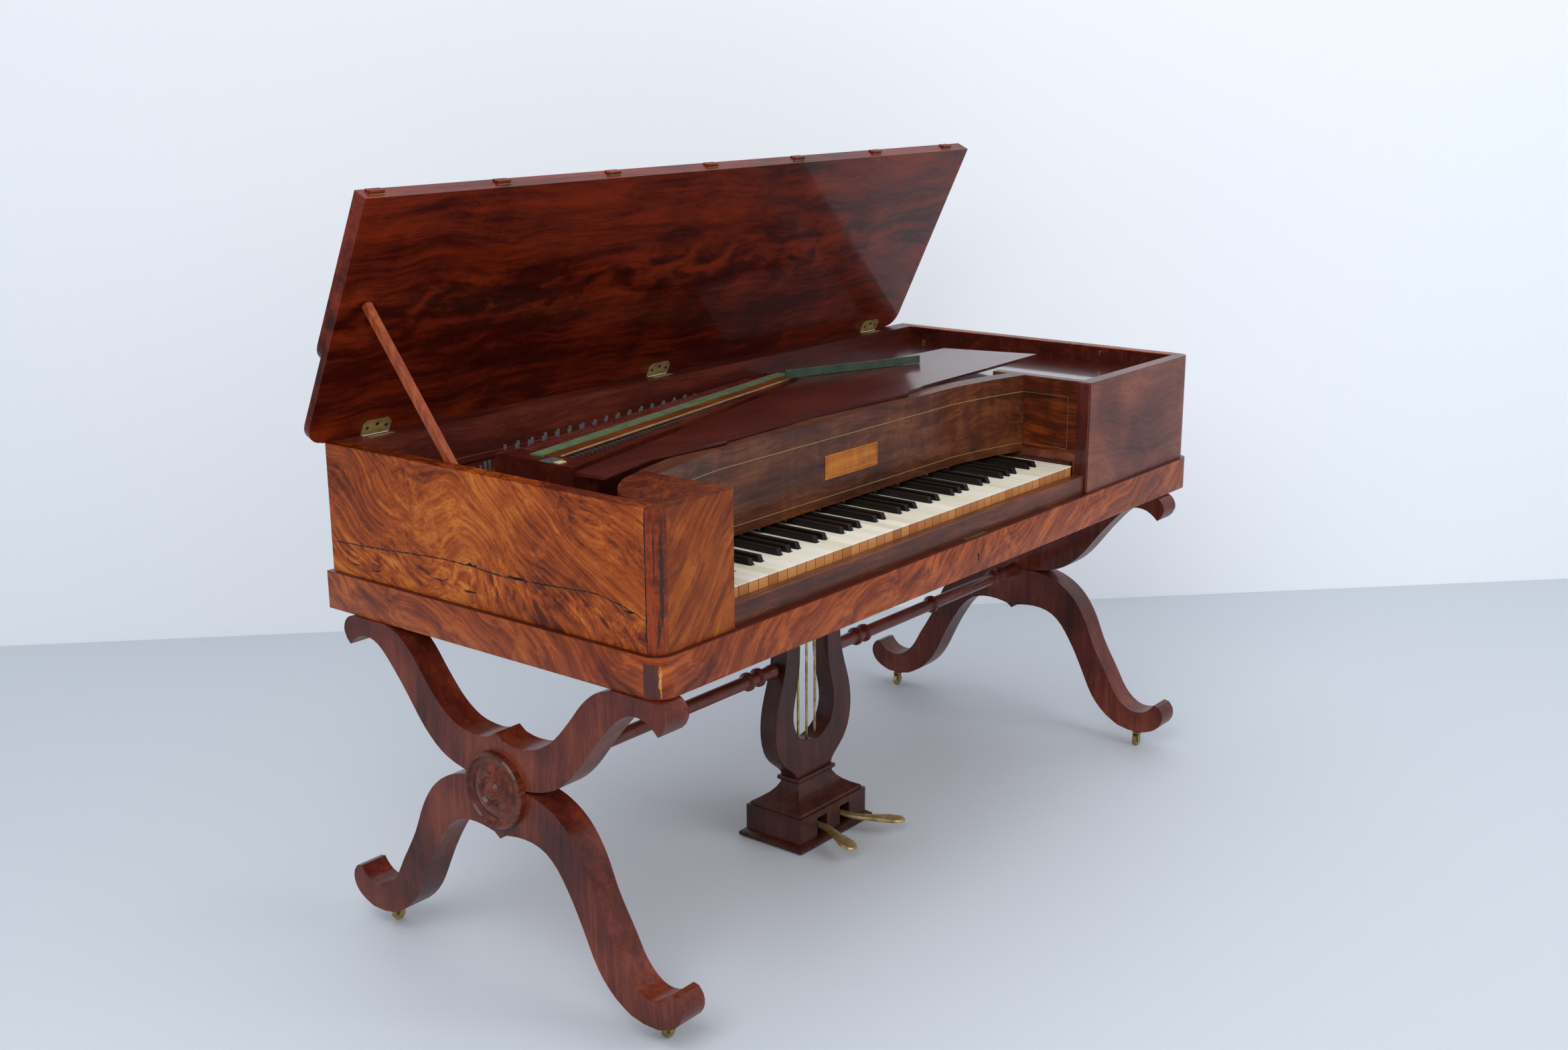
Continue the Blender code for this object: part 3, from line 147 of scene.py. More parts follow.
def layer(tree, vector, stretch, scale, detail=3.0, distortion=0.0):
    """One noise layer, stretched by a scale for each axis."""
    placed = add_node(tree, "ShaderNodeMapping", {"Vector": vector, "Scale": stretch}).outputs[0]
    inputs = {"Vector": placed, "Scale": scale, "Detail": detail, "Distortion": distortion}
    return add_node(tree, "ShaderNodeTexNoise", inputs).outputs["Fac"]


def feed(tree, shader, **values):
    """Fills the shader's inputs, named in small letters, with numbers or links."""
    for key, value in values.items():
        fill(tree, shader.inputs[key.replace("_", " ").title().replace("Ior", "IOR")], value)


def new_finish(name, **constants):
    """A material whose Principled shader has its constants set, with its tree and that shader."""
    made = bpy.data.materials.new(name)
    made.use_nodes = True
    tree = made.node_tree
    shader = tree.nodes["Principled BSDF"]
    feed(tree, shader, **constants)
    return made, tree, shader


def object_place(tree):
    """The place of the shaded point in the object's own coordinates."""
    return add_node(tree, "ShaderNodeTexCoord").outputs["Object"]


def plain(name, hex_value, roughness):
    """A finish of one colour."""
    return new_finish(name, roughness=roughness, base_color=colour(hex_value))[0]


# %% [markdown]
# ## Wood
# Every wood here is the same idea with other numbers, laid in layers from large to small. Slow clouds make
# one end of a board darker than the other. The log's growth layers show as soft stripes along the grain,
# and where the log was bent they sweep in curves. Where the fibres tip toward the eye, short curls cross the
# grain: that is the flame of mahogany. Fine fibres and open pores come last, as streaks and short dark
# dashes. A polish lies over it as a thin coat.

# %% A wood with clouds, stripes, curls, fibres and pores
EVEN = (1.0, 1.0, 1.0)
FIBRE_STRETCH, FIBRE_SCALE = (0.04, 1.0, 1.0), 620.0
PORE_STRETCH, PORE_SCALE, PORE_DEPTH = (0.07, 1.0, 1.0), 900.0, 0.0002


def near_plane(tree, place, origin, normal, reach):
    """One on a plane through the origin, fading to nothing at a distance on both sides."""
    along = calc_vector(tree, "DOT_PRODUCT", place, tuple(normal))
    away = calc(tree, "SUBTRACT", along, Vector(origin).dot(Vector(normal)))
    return ranged(tree, calc(tree, "ABSOLUTE", away), 0.0, reach, 1.0, 0.0, interpolation_type="SMOOTHSTEP")


def wood(name, stops, grain=(0, 0, 0), stripe=(60.0, 1.0), curl=(16.0, 0.6), cloud=(2.5, 0.6),
         ring=(150.0, 0.5), fibre=0.4, band=None, coat=0.3, roughness=0.42, coat_roughness=0.12, pores=0.5,
         warp=0.05, bend=3.4, seed=0.0, shine=0.2, stain=None, wrap=False):
    """A polished wood. Stops run from dark to light, grain is the turn that lays its length along X, and
    stripe, curl, cloud and ring are each a scale and a strength. A band is the origin, normal and reach of a
    stretch with extra figure, and that figure's stretch, scale and strength. A stain is two heights between
    which the wood grows darker, and by how much. Wrapped wood runs on round a corner, as a veneer is laid."""
    made, tree, shader = new_finish(name, roughness=roughness, coat_weight=coat, ior=1.5,
                                    coat_roughness=coat_roughness, specular_ior_level=shine)
    place = object_place(tree)
    across, deep, upward = add_node(tree, "ShaderNodeSeparateXYZ", {0: place}).outputs
    laid = place
    if wrap:
        around = calc(tree, "ADD", across, deep)
        laid = add_node(tree, "ShaderNodeCombineXYZ", {0: around, 2: upward}).outputs[0]
    turned = add_node(tree, "ShaderNodeMapping", {"Vector": laid, "Rotation": grain,
                                                  "Location": (seed, seed, 0)}).outputs[0]
    drift = add_node(tree, "ShaderNodeTexNoise", {"Vector": turned, "Scale": bend, "Detail": 2.0})
    centred = calc_vector(tree, "SUBTRACT", drift.outputs["Color"], (0.5, 0.5, 0.5))
    bent = calc_vector(tree, "MULTIPLY_ADD", centred, (warp, warp, warp), turned)
    layers = [(layer(tree, bent, EVEN, cloud[0], 2.0), cloud[1]),
              (layer(tree, bent, (0.10, 1.0, 1.0), stripe[0], 4.0, 0.3), stripe[1]),
              (layer(tree, bent, FIBRE_STRETCH, ring[0], 1.0), ring[1]),
              (layer(tree, bent, (1.0, 0.30, 0.30), curl[0], 3.0, 1.4), curl[1]),
              (layer(tree, bent, FIBRE_STRETCH, FIBRE_SCALE, 2.0), fibre)]
    total = 0.5 - 0.5 * sum(strength for _, strength in layers)
    for pattern, strength in layers:
        total = calc(tree, "MULTIPLY_ADD", pattern, strength, total)
    if band:
        origin, normal, reach, stretch, scale, strength = band
        extra = calc(tree, "SUBTRACT", layer(tree, bent, stretch, scale, 3.0, 0.8), 0.5)
        weight = calc(tree, "MULTIPLY", near_plane(tree, place, origin, normal, reach), strength)
        total = calc(tree, "MULTIPLY_ADD", extra, weight, total)
    if stain:
        first, last, amount = stain
        total = calc(tree, "SUBTRACT", total, ranged(tree, upward, first, last, 0.0, amount))
    dark, middle, pale = stops
    tone = ramp(tree, total, (0.16, dark), (0.84, pale), (0.5, middle))
    dash = ranged(tree, layer(tree, bent, PORE_STRETCH, PORE_SCALE, 1.0), 0.58, 0.70, 0.0, pores)
    darker = add_node(tree, "ShaderNodeMix", {0: dash, 6: tone, 7: colour(dark)}, data_type="RGBA")
    feed(tree, shader, base_color=darker.outputs[2], normal=bump(tree, dash, 0.12, PORE_DEPTH, invert=True))
    return made


ALONG_X = (0.0, 0.0, 0.0)
ALONG_Y = (0.0, 0.0, QUARTER)
UPRIGHT = (0.0, QUARTER, 0.0)
# A board's length may also slant across a face, by an angle about X or about Y
SLANT_SIDE = (math.radians(-25), 0.0, QUARTER)
SLANT_FRONT = (0.0, math.radians(50), 0.0)
SLANT_BAND = (0.0, math.radians(32), 0.0)
# The wood is drawn darker at the top of the rim and of the plinth
RIM_DARKENING = (RIM_TOP - 0.0012, RIM_TOP - 0.0002, 0.22)
PLINTH_DARKENING = (BODY_BOTTOM - 0.0016, BODY_BOTTOM - 0.0006, 0.5)
# The lid grows paler toward its upper edge, and a feathered flame runs along its middle
LID_FADE = (0.95, 1.20, -0.20)
LID_FLAME = (on_lid @ Vector((0, -0.235, 0)), lid_way @ Vector((0, 1, 0)), 0.085, (0.5, 1.0, 1.0), 30.0, 1.3)
# A row of small dark knots runs along the side
SIDE_KNOTS = (at(0, 0, 0.640), (0, 0, 1), 0.040, (0.6, 1.0, 1.0), 62.0, 1.3)

# French polished flame mahogany veneer: orange brown, swept in curves
side_veneer = wood("flame mahogany veneer", ("#501503", "#9f4711", "#cb7429"), SLANT_SIDE, (26.0, 0.65),
                   (18.0, 0.3), (3.4, 0.8), (150.0, 0.75), 0.55, warp=0.34, bend=2.6, stain=RIM_DARKENING,
                   coat=0.2, shine=0.12, band=SIDE_KNOTS)
# The same veneer, laid on the slant on the left front block
block_veneer = wood("slanted mahogany veneer", ("#481402", "#7b3406", "#ab5718"), SLANT_FRONT, (34.0, 0.9),
                    (16.0, 0.3), (4.0, 0.7), (130.0, 0.7), warp=0.12, seed=1.7, coat=0.2, shine=0.12,
                    stain=RIM_DARKENING)
# Quieter, browner veneer on the right front block
quiet_veneer = wood("quiet mahogany veneer", ("#401d16", "#6c3628", "#925038"), ALONG_X, (22.0, 0.7),
                    (10.0, 0.4), (5.0, 1.0), (110.0, 0.4), warp=0.16, seed=5.9, stain=RIM_DARKENING)
# A dark, fine panel veneer inside the key well
panel_veneer = wood("dark panel veneer", ("#220a04", "#4a1b09", "#7c3411"), ALONG_Y, (60.0, 1.0),
                    (14.0, 0.5), (8.0, 0.9), (170.0, 0.6), warp=0.10, seed=2.8)
# The round front corner, rubbed to a deep shine and burnt dark in places
corner_veneer = wood("rubbed corner veneer", ("#1c0601", "#571a03", "#93380a"), UPRIGHT, (20.0, 1.2),
                     (60.0, 0.6), (14.0, 0.9), (150.0, 0.4), coat=0.4, coat_roughness=0.06, seed=6.1,
                     shine=0.1)
# Sweeping stripes on the plinth band, plainer ones on the key slip
band_veneer = wood("striped mahogany veneer", ("#461204", "#873812", "#b95e24"), SLANT_BAND, (34.0, 0.9),
                   (10.0, 0.2), (4.0, 0.6), (130.0, 0.8), warp=0.20, seed=3.1, wrap=True, coat=0.25,
                   shine=0.15, stain=PLINTH_DARKENING)
slip_veneer = wood("key slip veneer", ("#301006", "#592813", "#7e4323"), ALONG_X, (40.0, 0.9), (12.0, 0.3),
                   (4.0, 0.7), seed=1.3)
# The lid's deep red face, with long straight grain
lid_veneer = wood("red mahogany lid veneer", ("#1a0201", "#400a03", "#7a260b"), ALONG_X, (30.0, 0.7),
                  (9.0, 0.25), (2.2, 0.8), (110.0, 0.4), coat_roughness=0.08, warp=0.10, seed=5.3,
                  shine=0.1, stain=LID_FADE, band=LID_FLAME)
# Solid red mahogany of the stand, darker with age and handling
stand_wood = wood("solid red mahogany", ("#2b0b06", "#5d2216", "#853f29"), UPRIGHT, (40.0, 0.6),
                  (14.0, 0.3), (6.0, 1.1), (140.0, 0.35), coat=0.35, warp=0.06, seed=7.9, shine=0.15)
lyre_wood = wood("dark lyre mahogany", ("#1c0805", "#3d1710", "#5a281d"), UPRIGHT, (40.0, 0.7),
                 (14.0, 0.25), (5.0, 0.8), (140.0, 0.4), coat_roughness=0.15, warp=0.06, seed=4.1)
turned_wood = wood("turned red mahogany", ("#3b140e", "#662b23", "#87463a"), ALONG_X, (50.0, 0.7),
                   (18.0, 0.2), (6.0, 0.6), coat=0.45, seed=2.2)
# The rosettes take the turned mahogany drawn darker all over, as painted shade for their grooves
rosette_groove_shade_wood = wood("turned rosette darkened as groove shade", ("#230905", "#542014", "#84402b"), ALONG_X, (50.0, 0.8),
                    (18.0, 0.3), (6.0, 0.6), coat=0.35, coat_roughness=0.08, seed=2.2, shine=0.15)
# Rosewood of the nameboard, brown with soft mottling
nameboard_wood = wood("polished rosewood", ("#2c1007", "#522611", "#764121"), ALONG_X, (40.0, 0.8),
                      (22.0, 0.5), (6.0, 0.6), fibre=0.5, coat=0.25, warp=0.08, seed=9.4)
cover_wood = wood("red stained cover board", ("#300d07", "#4c1810", "#68261a"), ALONG_X, (30.0, 0.8),
                  (12.0, 0.3), (3.5, 0.7), coat=0.6, seed=4.4)
# The treble cover is polished like a table top, so it mirrors the pale wall
table_wood = wood("mirror polished cover board", ("#2a0b08", "#4a1712", "#68261e"), ALONG_X, (40.0, 0.9),
                  (12.0, 0.4), (2.5, 0.7), coat=1.0, coat_roughness=0.06, roughness=0.2, seed=4.9, shine=0.8)
inner_wood = wood("red stained case wood", ("#2f0d07", "#4d180f", "#70301f"), ALONG_X, (34.0, 0.8),
                  (14.0, 0.2), (4.0, 0.9), coat=0.25, seed=6.6)
# The key frame is stained almost black by hands and dust
dark_wood = wood("dark stained mahogany", ("#1a0a06", "#34150d", "#512416"), ALONG_X, (50.0, 0.9),
                 (14.0, 0.3), (3.0, 0.6), coat=0.2, seed=3.3)
prop_wood = wood("orange mahogany stick", ("#6c2b12", "#93431f", "#ad5f31"), UPRIGHT, (90.0, 0.8),
                 (20.0, 0.2), (5.0, 0.4), coat=0.2, seed=8.8)
# The red post of the key well, and bare wood where the plinth has chipped
post_wood = wood("dark red post wood", ("#2c0e0b", "#4f1d18", "#6c2f26"), UPRIGHT, (50.0, 0.8), (18.0, 0.2),
                 (8.0, 0.7), coat=0.5, coat_roughness=0.08, seed=0.7)
bare_wood = wood("bare chipped wood", ("#8d5a2c", "#b98348", "#d3a467"), UPRIGHT, (90.0, 0.8), (20.0, 0.3),
                 (30.0, 0.9), coat=0.0, roughness=0.7, seed=2.9)
# A strip of fresh orange wood beside the green cloth
fresh_wood = wood("fresh orange wood", ("#4c200a", "#743812", "#8f5222"), ALONG_X, (60.0, 0.8), (20.0, 0.3),
                  (8.0, 0.6), seed=5.1)
plaque_wood = wood("varnished satinwood", ("#8f4a10", "#b0651d", "#c88030"), ALONG_X, (90.0, 0.7),
                   (40.0, 0.7), (8.0, 0.4), coat=0.15, pores=0.15, warp=0.02, seed=1.1)
print("made", len(bpy.data.materials), "materials so far")

# %% [markdown]
# ## Bone, ebony, metal and cloth
# Bone ages to cream, and each key's piece was cut from another place, so the tone changes from key to key.
# The key number is found from the place along the keyboard, which keeps the change at the real joints.

# %% Key coverings
NATURAL_PITCH, NATURALS, KEYS_LEFT = 0.0230, 43, 0.1822


def key_coat(name, dark, light, roughness, streak, shine=0.5):
    """A covering whose tone steps from one key to the next, with faint streaks along the key."""
    made, tree, shader = new_finish(name, roughness=roughness, ior=1.54, specular_ior_level=shine)
    place = object_place(tree)
    across = add_node(tree, "ShaderNodeSeparateXYZ", {0: place}).outputs[0]
    counted = calc(tree, "DIVIDE", calc(tree, "ADD", across, ORIGIN_X - KEYS_LEFT), NATURAL_PITCH)
    number = calc(tree, "FLOOR", counted)
    tint = add_node(tree, "ShaderNodeTexWhiteNoise", {"W": number}, noise_dimensions="1D").outputs["Value"]
    lines = layer(tree, place, (1.0, 0.06, 1.0), 380.0, 2.0)
    tone = ramp(tree, calc(tree, "MULTIPLY_ADD", lines, streak, tint), (0.1, dark), (1.0, light))
    feed(tree, shader, base_color=tone)
    return made


# Bleached bone, planed and worn smooth by hands
bone = key_coat("worn bone", "#ddd2b8", "#f1ead8", 0.32, 0.5)
# Pearwood fronts of the naturals, some of them replaced in a paler piece
front_wood = key_coat("waxed key front", "#a35a24", "#cf8b4a", 0.5, 0.6)
# The levers below, painted near black as the shade that falls where two keys nearly touch
gap_shade_lever_wood = key_coat("key lever painted dark as gap shade", "#20140c", "#3a2517", 0.7, 0.4)
# Ebony, near black, with a soft sheen along its top
ebony = key_coat("polished ebony", "#080606", "#181210", 0.34, 0.4, 0.2)

# %% [markdown]
# Old brass is dull in its hollows and bright where it is rubbed, so a slow noise moves its colour and its
# roughness. Iron pins have a grey oxide skin. The cloth is a plain weave with threads of about half a
# millimetre; it is drawn a little coarser than real, so that it shows.

# %% Metals and cloth
THREAD = 0.0011


def metal(name, dull, bright, roughness, patch=60.0):
    """A bare metal whose tone and roughness move slowly between dull and rubbed."""
    made, tree, shader = new_finish(name, metallic=1.0)
    wear = layer(tree, object_place(tree), EVEN, patch, 4.0)
    rough = ranged(tree, wear, 0.3, 0.7, roughness + 0.15, roughness - 0.05)
    feed(tree, shader, base_color=ramp(tree, wear, (0.35, dull), (0.70, bright)), roughness=rough)
    return made


def cloth(name, low, high):
    """A plain woven cloth: two sets of threads that cross, with a little fuzz."""
    made, tree, shader = new_finish(name, roughness=0.95, sheen_weight=0.05, sheen_roughness=0.5)
    place = object_place(tree)
    threads = {"Vector": place, "Scale": 0.5 / THREAD, "Distortion": 0.6}
    warp_set, weft_set = (add_node(tree, "ShaderNodeTexWave", threads, bands_direction=way).outputs["Fac"]
                          for way in "XY")
    weave = calc(tree, "MULTIPLY", warp_set, weft_set)
    fade = layer(tree, place, EVEN, 45.0, 3.0)
    tone = ramp(tree, calc(tree, "MULTIPLY_ADD", weave, 0.4, fade), (0.3, low), (0.95, high))
    feed(tree, shader, base_color=tone, normal=bump(tree, weave, 0.4, 0.0004))
    return made


# Cast and filed brass, long unpolished
brass = metal("aged brass", "#857145", "#c4ad74", 0.40)
# Drawn brass of the lyre's rods, a little brighter
rod_brass = metal("drawn brass", "#9a8354", "#d0bd8c", 0.28)
# The lid's hinges and the pedals, paler and duller than the rest
hinge_brass = metal("dull pale brass", "#a38d5b", "#d8c592", 0.55)
# Caster wheels, greasy in their hollows
wheel_brass = metal("worn wheel brass", "#8a7748", "#cbb47c", 0.45)
# Iron tuning pins with a grey oxide skin, and darker screws with old polish in their slots
iron = metal("oxidised iron", "#7d7d80", "#bcbcc1", 0.42, 300.0)
screw_iron = metal("dark iron screws", "#2b2724", "#5b544d", 0.5, 300.0)
# Grey sheet lead of the small clip
lead = metal("dull sheet lead", "#77747a", "#aaa7ad", 0.50, 120.0)
# The green strip on the damper case, the darker bar on the cover, the pale edge and the dampers' felt
green_cloth = cloth("green woollen cloth", "#384722", "#64754a")
bar_cloth = cloth("dusty dark green cloth", "#26352a", "#435546")
pale_cloth = cloth("undyed woollen cloth", "#7a6a4c", "#b3a27a")
felt = cloth("dark damper felt", "#1d1613", "#3a2e28")
# Holly lines let into the nameboard and the key well's side panel, yellowed by polish
inlay = plain("inlaid holly line", "#94804f", 0.5)
thin_inlay = plain("browned holly line", "#6f5c38", 0.5)
# A chip of old ivory
ivory = plain("yellowed ivory", "#cdbb8d", 0.4)
# Burns in the corner's polish, and painted shade for the dark inside of keyholes, joints and gaps
burnt = plain("burnt dark polish", "#2a0c05", 0.3)
shadow_gap = plain("unlit recess", "#0c0807", 0.9)
print("made", len(bpy.data.materials), "materials")

# %% [markdown]
# ## Finishes for the frame's own solids
# The solids whose shape is right stay as they are and only take a finish.

# %% Dress the solids


def dress(finish, *names):
    """Gives one finish to several solids of the frame."""
    for name in names:
        slots = nodes[name].data.materials
        slots.clear()
        slots.append(finish)


dress(side_veneer, "case_side_left", "case_side_right")
dress(block_veneer, "cheek_left")
dress(quiet_veneer, "cheek_right")
dress(band_veneer, "plinth_band")
dress(slip_veneer, "key_slip")
dress(lid_veneer, "lid_main", "lid_flap")
dress(inner_wood, "case_back", "damper_case", "cover_bracket", "wrest_plank")
dress(cover_wood, "dust_cover")
dress(table_wood, "treble_panel")
dress(nameboard_wood, "nameboard")
dress(plaque_wood, "name_plaque")
dress(dark_wood, "key_frame")
dress(prop_wood, "prop_stick")
dress(stand_wood, "frame_left_upper", "frame_left_lower", "frame_right_upper", "frame_right_lower")
dress(lyre_wood, "lyre")
dress(turned_wood, "stretcher_left", "stretcher_right")
dress(rosette_groove_shade_wood, "rosette_left", "rosette_right")
dress(hinge_brass, "lid_hinge_1", "lid_hinge_2", "lid_hinge_3", "pedal_left", "pedal_right")
dress(brass, "lock_plate")
dress(rod_brass, "rod_left", "rod_middle", "rod_right")
dress(green_cloth, "cloth_strip")
dress(bar_cloth, "swell_bar")
for corner in CORNERS:
    dress(brass, "caster_fork_" + corner)
    dress(wheel_brass, "caster_wheel_" + corner)
print("dressed the solids")

# %% [markdown]
# ## Mesh helpers
# A new piece is a mesh with its place in its vertices, one finish, and the body that it moves with.
# Small edges are rounded, because a real edge always catches a line of light.

# %% Mesh helpers


def place_object(name, data):
    """A new object in the scene."""
    made = bpy.data.objects.new(name, data)
    bpy.context.scene.collection.objects.link(made)
    return made


def finish_piece(name, shape, finishes, body="piano", turned=None):
    """Makes an object of a bmesh, with its finishes, riding on a body."""
    mesh = bpy.data.meshes.new(name)
    if turned is not None:
        bmesh.ops.transform(shape, matrix=turned, verts=shape.verts)
    shape.to_mesh(mesh)
    shape.free()
    for finish in finishes if isinstance(finishes, (list, tuple)) else [finishes]:
        mesh.materials.append(finish)
    piece = place_object(name, mesh)
    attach(piece, body)
    return piece


def round_edges(shape, verts, width, segments=2):
    """Rounds every edge that meets these vertices."""
    edges = list(dict.fromkeys(edge for vert in verts for edge in vert.link_edges))
    bmesh.ops.bevel(shape, geom=edges, offset=width, segments=segments, profile=0.5, affect="EDGES",
                    clamp_overlap=True, material=-1)


def add_box(shape, low, high, rounding=0.0, finish=0):
    """Adds a box between two corners, with its edges rounded."""
    made = bmesh.ops.create_cube(shape, size=1.0)["verts"]
    low, high = Vector(low), Vector(high)
    bmesh.ops.scale(shape, vec=high - low, verts=made)
    bmesh.ops.translate(shape, vec=(low + high) / 2, verts=made)
    for face in {face for vert in made for face in vert.link_faces}:
        face.material_index = finish
    if rounding:
        round_edges(shape, made, rounding)


def boxes(name, finish, *parts, body="piano", turned=None):
    """Makes one piece of boxes, each given by its low corner, its high corner and its rounding."""
    shape = bmesh.new()
    for part in parts:
        add_box(shape, *part)
    return finish_piece(name, shape, finish, body, turned)


def sheet(name, finish, *outlines):
    """Makes one thin piece of flat faces, each given by its corners."""
    shape = bmesh.new()
    for outline in outlines:
        shape.faces.new([shape.verts.new(corner) for corner in outline])
    return finish_piece(name, shape, finish)


# %% [markdown]
# The frame's solids are cut in flat facets. Where the real piece is turned or bowed, a smooth-shaded copy of
# the solid stands for it, with the same shape, finish and body.

# %% Smooth copies of round solids
BODY_OF = {name: body for body, held in frame["record"]["behaviour"]["bodies"].items() for name in held}
SOFT_ANGLE, WELD = math.radians(32), 0.000002


def smooth_copy(name):
    """Stands a smooth-shaded copy in for one solid; edges sharper than the soft angle stay crisp."""
    solid = nodes[name]
    shape = bmesh.new()
    shape.from_mesh(solid.data)
    bmesh.ops.transform(shape, matrix=solid.matrix_world, verts=shape.verts)
    bmesh.ops.remove_doubles(shape, verts=shape.verts, dist=WELD)
    for face in shape.faces:
        face.smooth = True
    for edge in shape.edges:
        edge.smooth = edge.is_manifold and edge.calc_face_angle(0.0) < SOFT_ANGLE
    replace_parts(finish_piece(name + "_smooth", shape, solid.data.materials[0], BODY_OF[name]), name)


ROUND = ["frame_left_upper", "frame_left_lower", "frame_right_upper", "frame_right_lower", "rosette_left",
         "rosette_right", "stretcher_left", "stretcher_right", "lyre", "rod_left", "rod_middle",
         "rod_right", "pedal_left", "pedal_right", "nameboard", "cheek_left", "plinth_band",
         "case_side_left", "dust_cover"]
ROUND += [kind + corner for kind in ("caster_fork_", "caster_wheel_") for corner in CORNERS]
for name in ROUND:
    smooth_copy(name)
print("smoothed", len(ROUND), "solids")

# %% [markdown]
# ## The keyboard
# A natural is a wooden lever with a thin bone covering on top, laid in two pieces: the wide head and the
# narrow tail, which meet at a hair line. Its front carries a strip of pearwood. A sharp is a block of ebony
# with a sloping front. The middle octave plays, so each of its keys is a piece of its own on its own body.
# The others are two rows, joined as the solids are.

# %% Keys
KEY_FRONT, KEY_REAR, KEY_TOP, KEY_BOTTOM = 0.0280, 0.3300, 0.6510, 0.6290
HEAD_LENGTH, TAIL_END, KEY_GAP, COVERING, HAIR = 0.0480, 0.2050, 0.0008, 0.0022, 0.0001
SHARP_BODY, SHARP_TOP_WIDTH, SHARP_REAR = 0.0125, 0.0098, 0.1900
SHARP_TOP, SHARP_FOOT, SHARP_SLOPE = 0.6605, KEY_TOP - 0.003, 0.0052
FIRST_FREE, FREE, LETTERS = 18, 7, "FGABCDE"
WHITE, BLACK = [bone, front_wood, gap_shade_lever_wood], [ebony, gap_shade_lever_wood]


def has_sharp(index):
    """Whether a sharp stands after this natural."""
    return LETTERS[index % 7] in "FGACD" and index + 1 < NATURALS


def tail_edges(index):
    """Left and right edges of a natural, and of its tail beside its sharps."""
    left = KEYS_LEFT + index * NATURAL_PITCH + KEY_GAP / 2
    right = left + NATURAL_PITCH - KEY_GAP
    left_cut = SHARP_BODY / 2 if index and has_sharp(index - 1) else 0
    right_cut = SHARP_BODY / 2 if has_sharp(index) else 0
    return left, right, left + left_cut, right - right_cut


def add_natural(shape, index):
    """Adds one natural: lever, pearwood front, and the bone's head and tail."""
    left, right, tail_left, tail_right = tail_edges(index)
    head_end, under = KEY_FRONT + HEAD_LENGTH, KEY_TOP - COVERING
    add_box(shape, at(left, KEY_FRONT + 0.0016, KEY_BOTTOM), at(right, head_end, under), 0.0, 2)
    add_box(shape, at(left + 0.0003, KEY_FRONT + 0.0006, KEY_BOTTOM + 0.0004),
            at(right - 0.0003, KEY_FRONT + 0.0015, under - HAIR), 0.0002, 1)
    add_box(shape, at(tail_left, head_end, KEY_BOTTOM), at(tail_right, KEY_REAR, under), 0.0, 2)
    add_box(shape, at(left, KEY_FRONT - 0.0004, under), at(right, head_end - HAIR, KEY_TOP), 0.0005)
    add_box(shape, at(tail_left, head_end + HAIR, under), at(tail_right, TAIL_END, KEY_TOP - HAIR), 0.0003)


def add_sharp(shape, index):
    """Adds one sharp: a lever and an ebony block that narrows toward its top."""
    centre = KEYS_LEFT + (index + 1) * NATURAL_PITCH
    front = KEY_FRONT + HEAD_LENGTH + 0.0018
    half, top_half = SHARP_BODY / 2 - KEY_GAP, SHARP_TOP_WIDTH / 2
    lever_half = half - 0.0004
    add_box(shape, at(centre - lever_half, front, KEY_BOTTOM), at(centre + lever_half, KEY_REAR, SHARP_FOOT),
            0.0, 1)
    made = bmesh.ops.create_cube(shape, size=1.0)["verts"]
    for vert in made:
        raised, ahead, side = vert.co.z > 0, vert.co.y < 0, math.copysign(1, vert.co.x)
        y = front + (SHARP_SLOPE if raised else 0.0) if ahead else SHARP_REAR
        vert.co = at(centre + side * (top_half if raised else half), y, SHARP_TOP if raised else SHARP_FOOT)
    round_edges(shape, made, 0.0009, 3)


for name, first, last in (("keys_bass", 0, FIRST_FREE), ("keys_treble", FIRST_FREE + FREE, NATURALS)):
    naturals, sharps = bmesh.new(), bmesh.new()
    for index in range(first, last):
        add_natural(naturals, index)
        if has_sharp(index) and index + 1 < last:
            add_sharp(sharps, index)
    white_row = finish_piece(name + "_naturals", naturals, WHITE)
    finish_piece(name + "_sharps", sharps, BLACK)
    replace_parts(white_row, name)
for index in range(FIRST_FREE, FIRST_FREE + FREE):
    key = "key_" + LETTERS[index % 7].lower()
    lever = bmesh.new()
    add_natural(lever, index)
    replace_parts(finish_piece(key + "_natural", lever, WHITE, key), key)
    if has_sharp(index):
        lever = bmesh.new()
        add_sharp(lever, index)
        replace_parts(finish_piece(key + "_black", lever, BLACK, key + "_sharp"), key + "_sharp")
print("made the keyboard:", NATURALS, "naturals")

# %% [markdown]
# ## Rows of pins and screws
# Tuning pins and screws are the same small part again and again. That is what Geometry Nodes are for: a set
# of points, one instance on each, a little disorder from a fixed seed, and then real geometry, because
# instances alone aren't exported.

# %% Node trees for repeated parts


def shape_tree(title, *sockets):
    """A Geometry Nodes tree with these inputs, each a name and a kind, and the tree's own inputs."""
    tree = bpy.data.node_groups.new(title, "GeometryNodeTree")
    for name, kind in sockets:
        tree.interface.new_socket(name, in_out="INPUT", socket_type="NodeSocket" + kind)
    tree.interface.new_socket("Geometry", in_out="OUTPUT", socket_type="NodeSocketGeometry")
    return tree, tree.nodes.new("NodeGroupInput").outputs


def close_tree(tree, instances, finish):
    """Turns the instances into real geometry with a finish, and puts it out."""
    real = add_node(tree, "GeometryNodeRealizeInstances", {0: instances}).outputs[0]
    coated = add_node(tree, "GeometryNodeSetMaterial", {"Geometry": real, "Material": finish}).outputs[0]
    add_node(tree, "NodeGroupOutput", {0: coated})
    return tree


